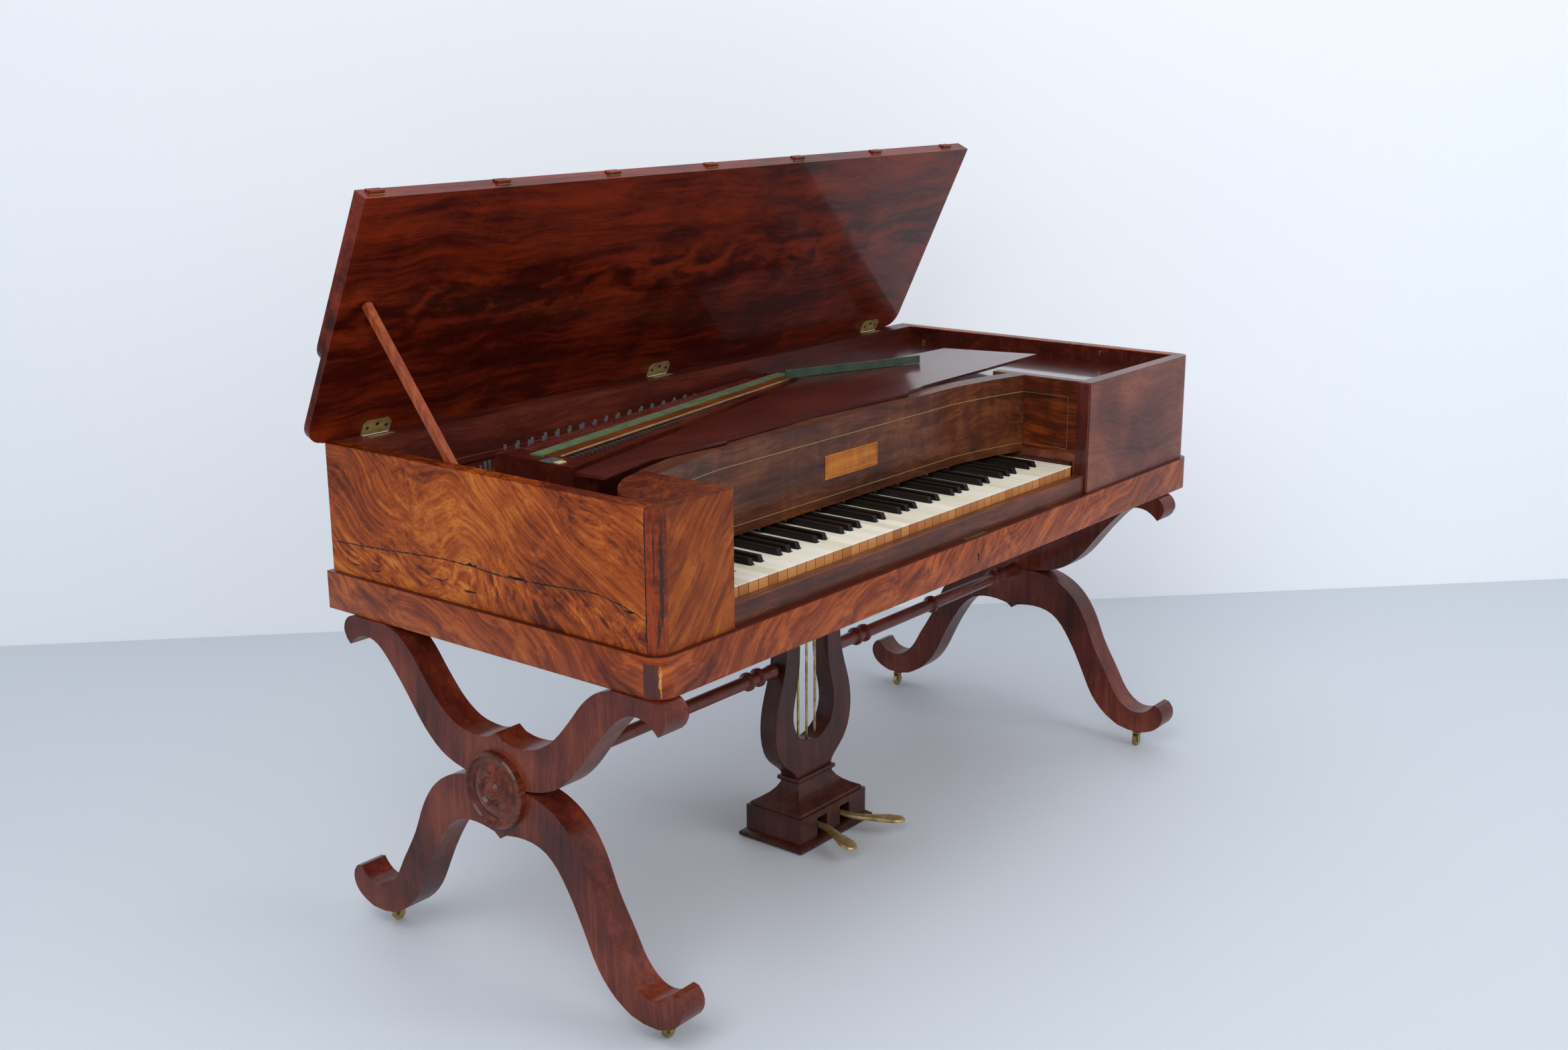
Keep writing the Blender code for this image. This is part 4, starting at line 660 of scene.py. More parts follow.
def row_tree():
    """A node tree that sets up a row of equal bars along a line."""
    tree, wants = shape_tree("slanting row", ("Count", "Int"), ("Start", "Vector"), ("Step", "Vector"),
                             ("Radius", "Float"), ("Length", "Float"), ("Sides", "Int"),
                             ("Disorder", "Float"), ("Finish", "Material"))
    line = add_node(tree, "GeometryNodeMeshLine", {"Count": wants["Count"], "Start Location": wants["Start"],
                                                   "Offset": wants["Step"]}, mode="OFFSET")
    jitter = add_node(tree, "FunctionNodeRandomValue",
                      {0: calc(tree, "MULTIPLY", wants["Disorder"], -1.0), 1: wants["Disorder"], "Seed": 7},
                      data_type="FLOAT_VECTOR")
    moved = add_node(tree, "GeometryNodeSetPosition", {"Geometry": line.outputs[0],
                                                       "Offset": jitter.outputs[0]})
    bar = add_node(tree, "GeometryNodeMeshCylinder", {"Vertices": wants["Sides"], "Radius": wants["Radius"],
                                                      "Depth": wants["Length"]})
    copies = add_node(tree, "GeometryNodeInstanceOnPoints", {"Points": moved.outputs[0],
                                                             "Instance": bar.outputs[0]})
    return close_tree(tree, copies.outputs[0], wants["Finish"])


def screw_tree():
    """A node tree that sets a slotted screw head on each vertex, spun by a random angle."""
    tree, wants = shape_tree("slotted screws", ("Geometry", "Geometry"), ("Radius", "Float"),
                             ("Turn", "Vector"), ("Finish", "Material"))
    head = add_node(tree, "GeometryNodeMeshCylinder", {"Vertices": 20, "Radius": wants["Radius"],
                                                       "Depth": 0.0012})
    long_side = calc(tree, "MULTIPLY", wants["Radius"], 2.4)
    slot_size = add_node(tree, "ShaderNodeCombineXYZ", {0: long_side, 1: 0.0007, 2: 0.0010}).outputs[0]
    bar = add_node(tree, "GeometryNodeMeshCube", {"Size": slot_size}).outputs[0]
    raised = add_node(tree, "GeometryNodeTransform", {"Geometry": bar, "Translation": (0, 0, 0.0007)})
    cut = add_node(tree, "GeometryNodeMeshBoolean", {0: head.outputs[0], 1: raised.outputs[0]},
                   operation="DIFFERENCE")
    copies = add_node(tree, "GeometryNodeInstanceOnPoints", {"Points": wants["Geometry"],
                                                             "Instance": cut.outputs[0],
                                                             "Rotation": wants["Turn"]})
    spin = add_node(tree, "FunctionNodeRandomValue", {2: 0.0, 3: 3.1, "Seed": 3}, data_type="FLOAT")
    about = add_node(tree, "ShaderNodeCombineXYZ", {2: spin.outputs[1]}).outputs[0]
    spun = add_node(tree, "GeometryNodeRotateInstances", {"Instances": copies.outputs[0], "Rotation": about,
                                                          "Local Space": True})
    return close_tree(tree, spun.outputs[0], wants["Finish"])


ROW, SCREWS = row_tree(), screw_tree()


def grow(name, tree, values, body, base=None):
    """Runs a node tree with its named inputs, turns the result into a plain mesh, and rides it on a body."""
    maker = place_object(name + "_maker", base or bpy.data.meshes.new(name))
    change = maker.modifiers.new("Nodes", "NODES")
    change.node_group = tree
    for item in tree.interface.items_tree:
        if item.in_out == "INPUT" and item.name in values:
            change[item.identifier] = values[item.name]
    evaluated = maker.evaluated_get(bpy.context.evaluated_depsgraph_get())
    mesh = bpy.data.meshes.new_from_object(evaluated)
    bpy.data.objects.remove(maker)
    piece = place_object(name, mesh)
    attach(piece, body)
    return piece


def row(name, count, start, step, radius, length, finish, sides=8, disorder=0.0):
    """A row of upright bars along a straight line."""
    values = {"Count": count, "Start": tuple(start), "Step": tuple(step), "Radius": radius, "Length": length,
              "Sides": sides, "Disorder": disorder, "Finish": finish}
    return grow(name, ROW, values, "piano")


def screws(name, points, radius, normal, finish, body="piano"):
    """Screw heads on points, facing along a normal."""
    base = bpy.data.meshes.new(name)
    base.from_pydata([tuple(point) for point in points], [], [])
    turn = tuple(Vector((0, 0, 1)).rotation_difference(Vector(normal)).to_euler())
    return grow(name, SCREWS, {"Radius": radius, "Turn": turn, "Finish": finish}, body, base)


# %% [markdown]
# The tuning pins stand in two slanting rows behind the damper case, each with a small coil of wire. Their
# tops just clear the row of wooden damper levers, whose tails reach back from under the green cloth.

# %% Pins and wire coils
PIN_STEP = Vector((0.0335, 0.0335 * 0.110, 0.0))
PINS, PIN_HEIGHT, PIN_MIDDLE, COIL_MIDDLE = 16, 0.050, 0.7590, 0.7450
HITCH_PINS, HITCH_STEP = 5, Vector((0.0125, 0.0035, 0.0))
for number, (x, y) in enumerate(((0.2430, 0.5535), (0.2598, 0.5445)), 1):
    row(f"tuning_pins_{number}", PINS, at(x, y, PIN_MIDDLE), PIN_STEP, 0.0029, PIN_HEIGHT, iron,
        disorder=0.0012)
    row(f"pin_coils_{number}", PINS, at(x, y, COIL_MIDDLE), PIN_STEP, 0.0038, 0.006, rod_brass, 12)
row("hitch_pins", HITCH_PINS, at(0.118, 0.497, 0.755), HITCH_STEP, 0.0024, 0.040, iron, disorder=0.0022)
print("made", 2 * PINS + HITCH_PINS, "pins")

# %% [markdown]
# The green cloth lies on the damper case. In front of it come a strip of fresh orange wood, the pale raw
# edge of the cloth below it, and then the slot where the damper levers cross. Every strip is a thin board
# between two lines that both run along the slanting case.

# %% Strips, damper levers and their tails
CLOTH_LEFT, CLOTH_RIGHT, CASE_TOP = Vector((0.207, 0.4430)), Vector((1.014, 0.5890)), 0.7850
along_cloth = (CLOTH_RIGHT - CLOTH_LEFT).normalized()
before_cloth = Vector((along_cloth.y, -along_cloth.x))
cloth_turn = math.atan2(along_cloth.y, along_cloth.x)


def beside_cloth(distance, forward, height):
    """A point at a distance along the green cloth's middle line and forward of it."""
    spot = CLOTH_LEFT + along_cloth * distance + before_cloth * forward
    return at(spot.x, spot.y, height)


def strip(name, finish, first, last, near, far, height):
    """A thin board on the damper case, between two distances along the cloth and two in front of it."""
    shape = bmesh.new()
    corners = ((first, near), (last, near), (last, far), (first, far))
    lower, upper = ([shape.verts.new(beside_cloth(along, forward, z)) for along, forward in corners]
                    for z in (CASE_TOP, CASE_TOP + height))
    faces = [shape.faces.new(lower), shape.faces.new(upper)]
    faces += [shape.faces.new((lower[i], lower[i - 1], upper[i - 1], upper[i])) for i in range(4)]
    bmesh.ops.recalc_face_normals(shape, faces=faces)
    return finish_piece(name, shape, finish)


CLOTH_LENGTH = (CLOTH_RIGHT - CLOTH_LEFT).length
strip("orange_strip", fresh_wood, 0.004, CLOTH_LENGTH - 0.028, 0.0330, 0.0130, 0.0022)
strip("pale_cloth_edge", pale_cloth, 0.018, CLOTH_LENGTH - 0.040, 0.0362, 0.0332, 0.0012)

LEVERS, LEVER_LEFT, LEVER_STEP, LEVER_LOW, LEVER_HIGH = 46, 0.236, 0.0130, 0.7758, 0.7798
# The slot's front and back edges run on two slopes from its left end
SLOT_LEFT, SLOT_FRONT, FRONT_SLOPE, SLOT_BACK, BACK_SLOPE = 0.232, 0.3720, 0.2331, 0.4070, 0.1811
levers, felts = [], []
for number in range(LEVERS):
    x = LEVER_LEFT + number * LEVER_STEP
    front = SLOT_FRONT + (x - SLOT_LEFT) * FRONT_SLOPE
    back = SLOT_BACK + (x - SLOT_LEFT) * BACK_SLOPE
    levers.append((at(x, front + 0.0005, LEVER_LOW), at(x + 0.0062, back - 0.0005, LEVER_HIGH), 0.0006))
    felts.append((at(x + 0.0064, back - 0.0100, 0.7770), at(x + 0.0126, back - 0.0010, 0.7838), 0.0010))
boxes("damper_levers", inner_wood, *levers)
boxes("damper_felts", felt, *felts)

# The levers' tails come out behind the cloth and end on a slanting line, over a dark bed of painted shade
TAILS, TAILS_LEFT, TAIL_BACK, TAIL_SLOPE, SHADE_BED_LIFT = 54, 0.2280, 0.4970, 0.1528, 0.0002
tails = []
for number in range(TAILS):
    x = TAILS_LEFT + number * LEVER_STEP
    front = CLOTH_LEFT.y + (x - CLOTH_LEFT.x) * math.tan(cloth_turn) + 0.0128
    back = TAIL_BACK + (x - 0.2300) * TAIL_SLOPE + 0.0060
    tails.append((at(x, front, CASE_TOP), at(x + 0.0058, back, CASE_TOP + 0.0030), 0.0006))
boxes("damper_lever_tails", turned_wood, *tails)
TAIL_SHADE_BED = ((0.2260, 0.4600), (0.9250, 0.5865), (0.9250, 0.6020), (0.2260, 0.4960))
sheet("lever_tail_shade_bed", shadow_gap, [at(x, y, CASE_TOP + SHADE_BED_LIFT) for x, y in TAIL_SHADE_BED])

# A lead clip and a chip of ivory close the slot's left end
boxes("lead_clip", lead, (at(0.1950, 0.3905, CASE_TOP), at(0.2160, 0.4160, CASE_TOP + 0.0012), 0.0003),
      (at(0.1840, 0.3905, CASE_TOP + 0.0002), at(0.1952, 0.4150, CASE_TOP + 0.0012), 0.0003))
boxes("ivory_chip", ivory, (at(0.1900, 0.3750, CASE_TOP), at(0.2060, 0.3870, CASE_TOP + 0.0018), 0.0004))
print("made", LEVERS, "damper levers")

# %% [markdown]
# ## Inlaid lines
# Two thin pale lines run along the nameboard, and run on round the side panel of the key well. Each is a
# ribbon that follows the board's own curve, standing a hair proud so that it shows.

# %% Nameboard curve and inlay
NAMEBOARD_FRONT, SWEEP_DEPTH, SWEEP_LENGTH, SWEEP_POWER = 0.177, 0.035, 0.200, 1.5
LOW_LINE, HIGH_LINE, END_GAP, BENDS = 0.6790, 0.7775, 0.002, 16
LINE, SIDE_LINE, PROUD = 0.0011, 0.0009, 0.00035


def sweep(x):
    """Y of the nameboard's front face: straight in the middle, curving forward at both ends."""
    end = min(x - LEFT_CHEEK, RIGHT_CHEEK - x)
    if end >= SWEEP_LENGTH:
        return NAMEBOARD_FRONT
    return NAMEBOARD_FRONT - SWEEP_DEPTH * (1 - max(end, 0.0) / SWEEP_LENGTH) ** SWEEP_POWER


def ribbon(shape, path, height):
    """Adds a flat ribbon along a path, of a height in Z."""
    lower = [shape.verts.new(point - Vector((0, 0, height / 2))) for point in path]
    upper = [shape.verts.new(point + Vector((0, 0, height / 2))) for point in path]
    for i in range(len(path) - 1):
        shape.faces.new((lower[i], lower[i + 1], upper[i + 1], upper[i]))


ends = [LEFT_CHEEK + END_GAP + SWEEP_LENGTH * i / BENDS for i in range(BENDS + 1)]
ends += [RIGHT_CHEEK - END_GAP - SWEEP_LENGTH * (BENDS - i) / BENDS for i in range(BENDS + 1)]
lines = bmesh.new()
for z in (HIGH_LINE, LOW_LINE):
    ribbon(lines, [at(x, sweep(x) - PROUD, z) for x in ends], LINE)
finish_piece("nameboard_lines", lines, inlay)

# A plain dark line runs round the bare plaque
INSET, BORDER = 0.0035, 0.0005
plate = nodes["name_plaque"]
spots = list(zip(*(plate.matrix_world @ vert.co for vert in plate.data.vertices)))
west, face, foot = (min(values) for values in spots)
east, _, head = (max(values) for values in spots)
west, east, foot, head = west + INSET, east - INSET, foot + INSET, head - INSET
face, middle = face - 0.0001, (foot + head) / 2
border = bmesh.new()
for height in (foot, head):
    ribbon(border, [Vector((west, face, height)), Vector((east, face, height))], BORDER)
for side in (west, east):
    ribbon(border, [Vector((side - BORDER / 2, face, middle)), Vector((side + BORDER / 2, face, middle))],
           head - foot)
finish_piece("plaque_border", border, dark_wood)
print("inlaid the nameboard")

# %% [markdown]
# The key well's right wall is a panel of dark veneer. The nameboard's two lines run on over it and end in an
# upright one. A red half-round post covers its front edge, and at the post's foot sits the brass catch of
# the lost front fall.

# %% Right wall of the key well
PANEL_FACE, NEAR_LINE, FAR_LINE, FACE_GAP = RIGHT_CHEEK - 0.0012, 0.0460, 0.1405, 0.0001
boxes("side_panel", panel_veneer, (at(PANEL_FACE, 0.0265, 0.6725),
                                   at(RIGHT_CHEEK - FACE_GAP, 0.1410, RIM_TOP - 0.0010), 0.0003))
lines = bmesh.new()
for z in (LOW_LINE, HIGH_LINE):
    ribbon(lines, [at(PANEL_FACE - PROUD, y, z) for y in (FAR_LINE, NEAR_LINE)], SIDE_LINE)
ribbon(lines, [at(PANEL_FACE - PROUD, NEAR_LINE + side * SIDE_LINE / 2, (LOW_LINE + HIGH_LINE) / 2)
               for side in (1, -1)], HIGH_LINE - LOW_LINE + SIDE_LINE)
finish_piece("side_panel_lines", lines, thin_inlay)
boxes("well_post", post_wood, (at(RIGHT_CHEEK - 0.0035, 0.0010, BODY_BOTTOM + 0.0004),
                               at(RIGHT_CHEEK - FACE_GAP, 0.0262, RIM_TOP - 0.0008), 0.0016))
boxes("front_catch", brass,
      (at(RIGHT_CHEEK - 0.0048, 0.0070, 0.6050), at(RIGHT_CHEEK - 0.0036, 0.0220, 0.6210), 0.0003),
      (at(RIGHT_CHEEK - 0.0060, 0.0110, 0.6085), at(RIGHT_CHEEK - 0.0047, 0.0165, 0.6140), 0.0004))
print("made the key well's right wall")

# %% [markdown]
# ## Joints, cracks and worn places
# An old case shows how it was put together. The side veneer ends in a ragged joint at the corner post, a
# crack runs along its lower third, and the plinth's corner has been patched with darker wood. A crack is a
# thin strip that follows listed points, with its edges broken up by a fixed noise.

# %% Cracks and joints


def ragged(shape, path, across, width, proud, roughen=0.6, step=0.004):
    """Adds a thin broken strip along a path: across gives its width's direction, proud moves it outward."""
    points = []
    for first, last in zip(path, path[1:]):
        count = max(1, round((last - first).length / step))
        points += [first.lerp(last, i / count) for i in range(count)]
    points.append(path[-1])
    sides = []
    for index, point in enumerate(points):
        taper = min(1.0, 0.25 + min(index, len(points) - 1 - index) / 6)
        wander = noise.noise(point * 90.0) * width * roughen
        half = width * taper * (0.5 + roughen * noise.noise(point * 260.0))
        middle = point + across * wander + proud
        sides.append((shape.verts.new(middle - across * half), shape.verts.new(middle + across * half)))
    for near, far in zip(sides, sides[1:]):
        shape.faces.new((near[0], far[0], far[1], near[1]))


UP, OUT_LEFT, ABOVE = Vector((0, 0, 1)), Vector((-0.00025, 0, 0)), Vector((0, 0, 0.00008))
RIGHTWARD, BACKWARD, CORNER_RADIUS = Vector((1, 0, 0)), Vector((0, 1, 0)), 0.0213
# The crack along the left side, as (y, z)
CRACK = ((0.694, 0.650), (0.6105, 0.654), (0.517, 0.660), (0.4445, 0.665), (0.375, 0.665), (0.308, 0.661),
         (0.210, 0.665), (0.116, 0.671), (0.057, 0.660), (0.025, 0.649))
# Chips along the crack and by the foot of the side, as (y, z, half length, height)
CHIPS = ((0.372, 0.6665, 0.012, 0.004), (0.278, 0.6640, 0.016, 0.003), (0.052, 0.6560, 0.010, 0.004),
         (0.643, 0.6200, 0.010, 0.003), (0.595, 0.6180, 0.010, 0.003), (0.447, 0.6300, 0.012, 0.003),
         (0.378, 0.6240, 0.014, 0.003))
cracks = bmesh.new()
ragged(cracks, [at(0.0, y, z) for y, z in CRACK], UP, 0.0017, OUT_LEFT)
ragged(cracks, [at(0.0, CORNER_RADIUS, z) for z in (BODY_BOTTOM + 0.001, RIM_TOP - 0.001)], BACKWARD, 0.0020,
       OUT_LEFT, 0.35)
for y, z, length, height in CHIPS:
    ragged(cracks, [at(0.0, y + step * length, z) for step in (1, 0, -1)], UP, height, OUT_LEFT, 0.5, 0.002)
finish_piece("side_cracks", cracks, shadow_gap)

# The joint in the left block's top, and the gap between its strips
cracks = bmesh.new()
ragged(cracks, [at(0.140, y, RIM_TOP) for y in (0.169, 0.024)], RIGHTWARD, 0.0008, ABOVE, 0.4)
ragged(cracks, [at(x, 0.024, RIM_TOP) for x in (0.012, 0.140)], BACKWARD, 0.0008, ABOVE, 0.4)
finish_piece("block_top_joints", cracks, shadow_gap)
print("made the cracks and joints")

# %% Corner veneer, plinth patch and keyhole
PLINTH_RADIUS, PATCH_LOW, PATCH_HIGH = 0.0293, 0.5405, 0.5890
# Burns up the corner, as (angle, low, high, width)
BURNS = ((243, 0.640, 0.775, 0.0050), (229, 0.612, 0.655, 0.0040), (215, 0.700, 0.790, 0.0016))


def corner_arc(radius, first, last, count=14):
    """Plan points round the upright front corner, between two angles in degrees."""
    turns = [math.radians(first + (last - first) * i / count) for i in range(count + 1)]
    return [Vector((CORNER_RADIUS + radius * math.cos(turn), CORNER_RADIUS + radius * math.sin(turn)))
            for turn in turns]


def corner_skin(name, finish, radius, first, last, low, high):
    """An upright skin round the corner."""
    shape = bmesh.new()
    plan = corner_arc(radius, first, last)
    ribbon(shape, [at(spot.x, spot.y, (low + high) / 2) for spot in plan], high - low)
    return finish_piece(name, shape, finish)


def corner_streak(shape, radius, angle, low, high, width, proud, roughen, step):
    """Adds a ragged upright streak to the corner at an angle in degrees."""
    near, spot, far = corner_arc(radius, angle - 4, angle + 4, 2)
    ragged(shape, [at(spot.x, spot.y, low), at(spot.x, spot.y, high)], (far - near).normalized().to_3d(),
           width, proud, roughen, step)


corner_skin("corner_veneer_skin", corner_veneer, CORNER_RADIUS + 0.0002, 181, 269, BODY_BOTTOM + 0.0005,
            RIM_TOP - 0.0006)
streaks = bmesh.new()
for angle, low, high, width in BURNS:
    turn = math.radians(angle)
    outward = Vector((math.cos(turn), math.sin(turn), 0.0)) * 0.0003
    corner_streak(streaks, CORNER_RADIUS + 0.0003, angle, low, high, width, outward, 0.4, 0.005)
finish_piece("corner_burns", streaks, burnt)
corner_skin("plinth_patch", post_wood, PLINTH_RADIUS + 0.0003, 178, 222, PATCH_LOW, PATCH_HIGH)
streaks = bmesh.new()
corner_streak(streaks, PLINTH_RADIUS + 0.0002, 229, 0.5410, 0.5880, 0.0036, Vector((-0.0004, -0.0004, 0.0)),
              0.5, 0.003)
finish_piece("bare_plinth_chip", streaks, bare_wood)

# The keyhole is a flat dark sheet of painted shade on the plinth's face: a round eye over a slot
KEYHOLE_X, KEYHOLE_Z, PLINTH_FACE, EYE, EYE_SIDES = 0.798, 0.5690, -0.0080, 0.0030, 16
turns = [i * math.tau / EYE_SIDES for i in range(EYE_SIDES)]
ring = [(EYE * math.cos(turn), EYE * math.sin(turn)) for turn in turns]
slot = ((-0.0013, -0.0020), (0.0013, -0.0020), (0.0019, -0.0100), (-0.0019, -0.0100))
sheet("keyhole", shadow_gap, *([at(KEYHOLE_X + x, PLINTH_FACE - 0.0003, KEYHOLE_Z + z) for x, z in outline]
                               for outline in (ring, slot)))
print("made the corner, the patch and the keyhole")

# %% [markdown]
# ## Inside the open case
# A ledge runs along the inner back wall just above the wrest plank, and another along the right wall over
# the polished treble cover. Thin red linings cover both end walls. A small turned cup sits in the back right
# corner, and a hook under the rim of the right wall.

# %% Ledges, linings, cup and hook
INNER_LEFT, INNER_RIGHT = SIDE_THICKNESS, CASE_LENGTH - SIDE_THICKNESS
INNER_BACK = CASE_DEPTH - BACK_THICKNESS
LINING, LEDGE_LEFT, LEDGE_RIGHT = 0.0004, INNER_LEFT + 0.0010, 1.0290
boxes("inner_ledges", inner_wood,
      (at(LEDGE_LEFT, INNER_BACK - 0.0045, 0.7362), at(LEDGE_RIGHT, INNER_BACK - 0.0002, 0.7470), 0.0006),
      (at(INNER_RIGHT - 0.0050, 0.3000, 0.7720), at(INNER_RIGHT - 0.0002, 0.6280, 0.7860), 0.0008))
boxes("ledge_worn_edge", fresh_wood,
      (at(LEDGE_LEFT, INNER_BACK - 0.0047, 0.7462), at(LEDGE_RIGHT, INNER_BACK - 0.0030, 0.7474), 0.0003))
boxes("inner_linings", inner_wood,
      *((at(left, front, BODY_BOTTOM + 0.0010), at(left + LINING, INNER_BACK - 0.0002, RIM_TOP - 0.0014))
        for left, front in ((INNER_LEFT, 0.1750), (INNER_RIGHT - LINING, 0.0262))))


def add_peg(shape, place, segments, foot, head, length):
    """Adds a small turned peg that stands out from the right wall."""
    facing = Matrix.Translation(place) @ Matrix.Rotation(QUARTER, 4, "Y")
    bmesh.ops.create_cone(shape, cap_ends=True, segments=segments, radius1=foot, radius2=head, depth=length,
                          matrix=facing)


cup, hook = bmesh.new(), bmesh.new()
add_peg(cup, at(INNER_RIGHT - 0.0060, 0.6210, 0.7790), 20, 0.0050, 0.0036, 0.0030)
finish_piece("screw_cup", cup, brass)
add_peg(hook, at(INNER_RIGHT - 0.0040, 0.1850, 0.8000), 12, 0.0016, 0.0016, 0.0080)
add_box(hook, at(INNER_RIGHT - 0.0090, 0.1840, 0.7930), at(INNER_RIGHT - 0.0076, 0.1860, 0.8010), 0.0004)
finish_piece("rim_hook", hook, brass)
print("made the ledges, the linings, the cup and the hook")

# %% [markdown]
# ## Brass and iron on the lid
# Three screws hold each lid hinge, and three the lock plate. Each lid hinge has a second leaf, let into the
# top of the case's back. The folded flap hangs on seven small hinges, whose leaves show as thin plates on the
# edges of both boards.

# %% Screws and leaves
# The screws' places on a hinge, from its middle along the lid and from the lid's back edge
SCREW_PLACES = ((-0.019, 0.0125), (0.0, 0.0175), (0.019, 0.0125))
for number, x in enumerate(HINGE_CENTRES, 1):
    spots = [on_lid @ Vector((x + dx, -dy, -0.0016)) for dx, dy in SCREW_PLACES]
    screws(f"lid_hinge_screws_{number}", spots, 0.0030, lid_way @ -UP, screw_iron, "lid")
screws("lock_plate_screws", [at(x, 0.008, 0.6002) for x in (0.779, 0.803, 0.827)], 0.0026, UP, brass)

FLAP_HINGES, FLAP_FIRST, FLAP_LAST, LEAF_HALF, LEAF_WIDTH = 7, -0.008, 1.487, 0.0140, 0.0040
for number in range(FLAP_HINGES):
    x = FLAP_FIRST + number * (FLAP_LAST - FLAP_FIRST) / (FLAP_HINGES - 1)
    for body, low in (("lid", 0.0080), ("flap", 0.0142)):
        near_end = (x - LEAF_HALF, LID_FRONT - 0.0010, low)
        far_end = (x + LEAF_HALF, LID_FRONT + 0.0004, low + LEAF_WIDTH)
        boxes(f"flap_leaf_{body}_{number + 1}", brass, (near_end, far_end, 0.0003), body=body, turned=on_lid)
for number, x in enumerate(HINGE_CENTRES, 1):
    boxes(f"hinge_back_leaf_{number}", hinge_brass,
          (at(x - 0.0285, 0.6760, RIM_TOP - 0.00198), at(x + 0.0285, 0.6925, RIM_TOP - 0.00185)))

# %% [markdown]
# A thin dark bead of painted shade along the lid's back edge closes the crack of daylight between lid and
# case, and a thin strip on the case's back keeps the same daylight out from above. Both stop short of the
# hinges.

# %% Bead and strip between the hinges
stops = [LID_LEFT + 0.032]
for x in HINGE_CENTRES:
    stops += [x - 0.0295, x + 0.0295]
stops.append(LID_RIGHT - 0.032)
spans = list(zip(stops[0::2], stops[1::2]))
boxes("lid_back_shade_bead", shadow_gap, *(((left, -0.0006, 0.0), (right, 0.0010, 0.0050), 0.0001)
                                     for left, right in spans), body="lid", turned=on_lid)
boxes("case_back_strip", dark_wood, *((at(max(left, 0.002), 0.7008, 0.8045),
                                       at(right, 0.7026, 0.8082), 0.0003) for left, right in spans))
print("made the screws, the leaves, the bead and the strip")

# %% [markdown]
# ## Stage, light and camera
# A pale floor and a white wall behind stand for the studio. They aren't part of the piano. The light is
# large and soft, so that the polish shows broad pale reflections and the shadows stay faint.

# %% Floor and wall
WALL_HEIGHT, FLOOR_DROP = 5.0, 0.0005
FLOOR = ((-9, -6), (9, -6), (9, 9), (-9, 9))


def stage_piece(name, corners, finish):
    """A flat stage piece between four corners."""
    mesh = bpy.data.meshes.new(name)
    mesh.from_pydata([tuple(corner) for corner in corners], [], [(0, 1, 2, 3)])
    mesh.materials.append(finish)
    piece = place_object(name, mesh)
    return piece


floor_finish = plain("pale studio floor", "#ced4db", 0.55)
wall_finish, wall_tree, wall_shader = new_finish("white studio wall", roughness=0.9,
                                                 base_color=colour("#fafcff"))
# Seen from behind, the wall is clear, so that the piano's back can be looked at
side_seen = add_node(wall_tree, "ShaderNodeNewGeometry").outputs["Backfacing"]
clear = add_node(wall_tree, "ShaderNodeBsdfTransparent").outputs[0]
one_way = add_node(wall_tree, "ShaderNodeMixShader", {0: side_seen, 1: wall_shader.outputs[0], 2: clear})
fill(wall_tree, wall_tree.nodes["Material Output"].inputs["Surface"], one_way.outputs[0])
stage_piece("studio_floor", [(x, y, -FLOOR_DROP) for x, y in FLOOR], floor_finish)

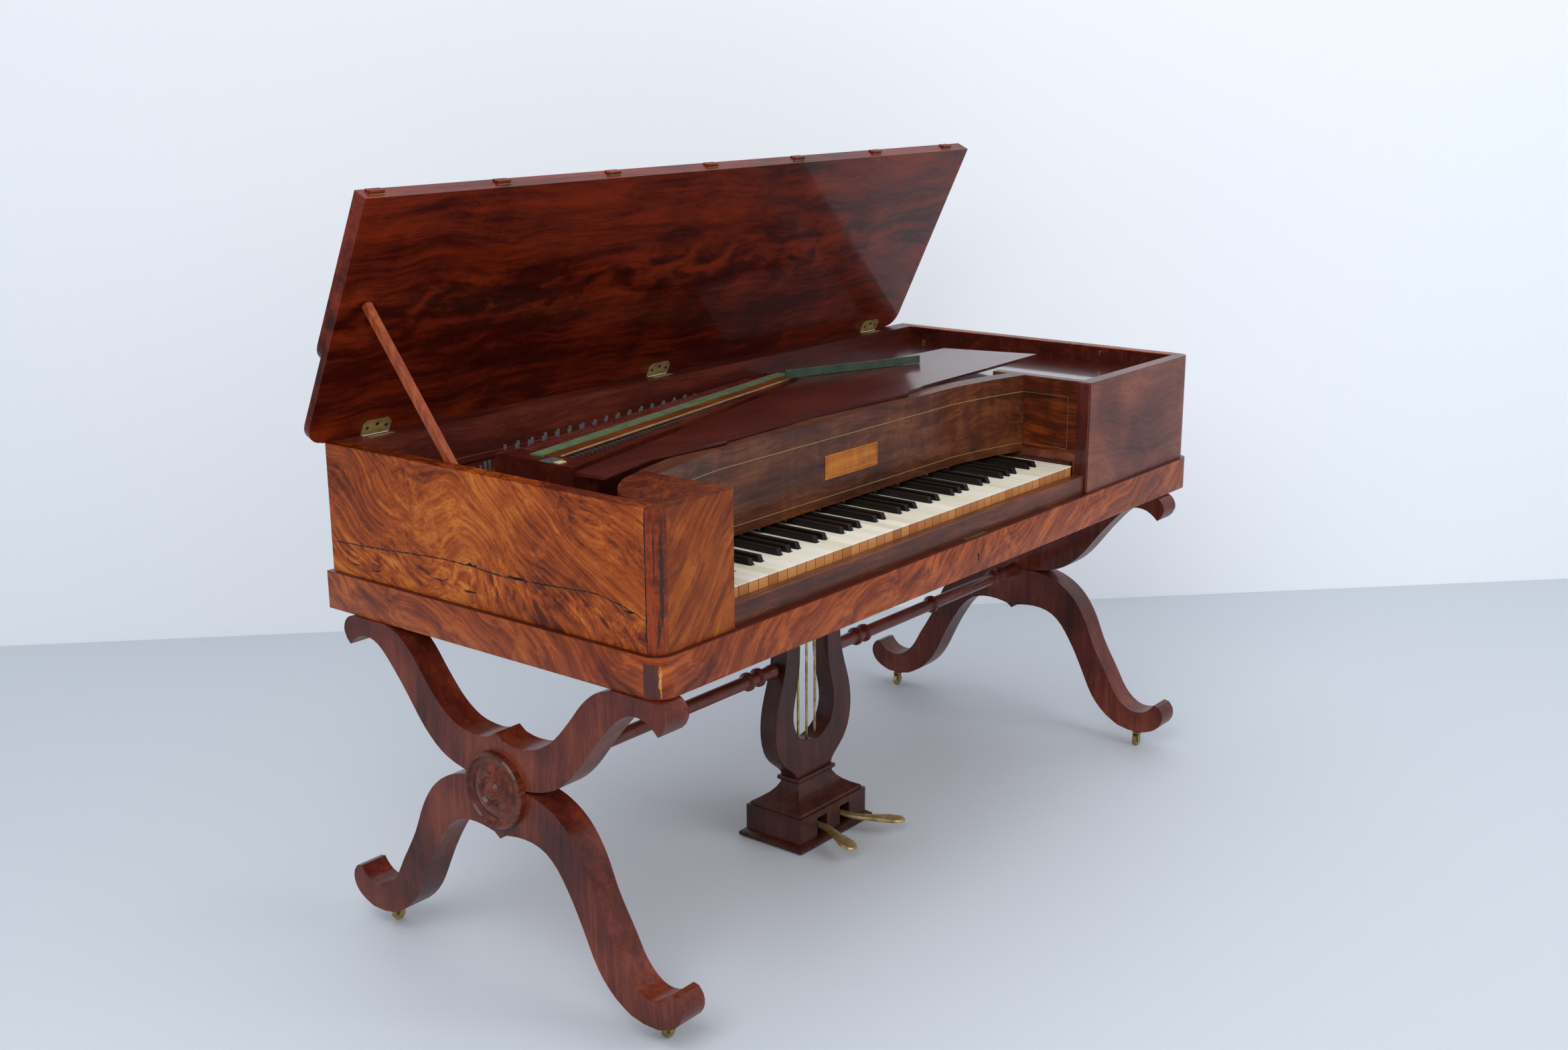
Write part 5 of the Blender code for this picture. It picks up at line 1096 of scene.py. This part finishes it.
# %% Camera solved from the photograph's corners
FOCAL_PIXELS, IMAGE_WIDTH, IMAGE_HEIGHT = 2682.04, 2341, 1568
CENTRE_U, CENTRE_V = 1182.64, 793.20
YAW, PITCH, ROLL = 0.9028, -0.2634, 0.0031
eye = at(-1.7133, -1.5848, 1.4069)
ahead = Vector((math.sin(YAW) * math.cos(PITCH), math.cos(YAW) * math.cos(PITCH), math.sin(PITCH)))
level = Vector((math.cos(YAW), -math.sin(YAW), 0.0))
below = ahead.cross(level)
to_right = level * math.cos(ROLL) + below * math.sin(ROLL)
to_floor = below * math.cos(ROLL) - level * math.sin(ROLL)
camera_data = bpy.data.cameras.new("camera")
camera_data.sensor_width = 36.0
camera_data.lens = 36.0 * FOCAL_PIXELS / IMAGE_WIDTH
camera_data.shift_x = (IMAGE_WIDTH / 2 - CENTRE_U) / IMAGE_WIDTH
camera_data.shift_y = (CENTRE_V - IMAGE_HEIGHT / 2) / IMAGE_WIDTH
camera = place_object("camera", camera_data)
camera.matrix_world = Matrix.Translation(eye) @ Matrix((to_right, -to_floor, -ahead)).transposed().to_4x4()
bpy.context.scene.camera = camera
print("camera lens", round(camera_data.lens, 2), "mm")

# %% Wall behind the piano, through the two places where it meets the floor in the picture
LEFT_V, RIGHT_V, MORE_LEFT, MORE_RIGHT = 965, 864, 2.2, 1.2


def floor_point(u, v):
    """The point on the floor that a pixel shows."""
    ray = ahead * FOCAL_PIXELS + to_right * (u - CENTRE_U) + to_floor * (v - CENTRE_V)
    return eye + ray * (-eye.z / ray.z)


wall_left, wall_right = floor_point(0, LEFT_V), floor_point(IMAGE_WIDTH, RIGHT_V)
run = wall_right - wall_left
wall_left, wall_right = wall_left - run * MORE_LEFT, wall_right + run * MORE_RIGHT
up = UP * WALL_HEIGHT
stage_piece("studio_wall", [wall_left, wall_right, wall_right + up, wall_left + up], wall_finish)

# %% Lamps and sky
world = bpy.data.worlds.new("studio")
world.use_nodes = True
feed(world.node_tree, world.node_tree.nodes["Background"], color=colour("#dfe7f0"), strength=0.62)
bpy.context.scene.world = world


def softbox(name, place, target, size, watts):
    """A large square area lamp that looks at a point."""
    data = bpy.data.lights.new(name, "AREA")
    data.shape = "SQUARE"
    data.size = size
    data.energy = watts
    lamp = place_object(name, data)
    lamp.location = place
    lamp.rotation_euler = (Vector(target) - Vector(place)).to_track_quat("-Z", "Y").to_euler()
    return lamp


softbox("key_softbox", (-3.2, -1.2, 3.2), (0, 0, 0.6), 2.6, 80)
softbox("front_softbox", (0.8, -3.6, 2.6), (0, 0, 0.5), 2.4, 50)
softbox("top_softbox", (0.4, 0.6, 4.2), (0, 0, 0.5), 3.6, 34)
bpy.context.scene.view_settings.view_transform = "Standard"
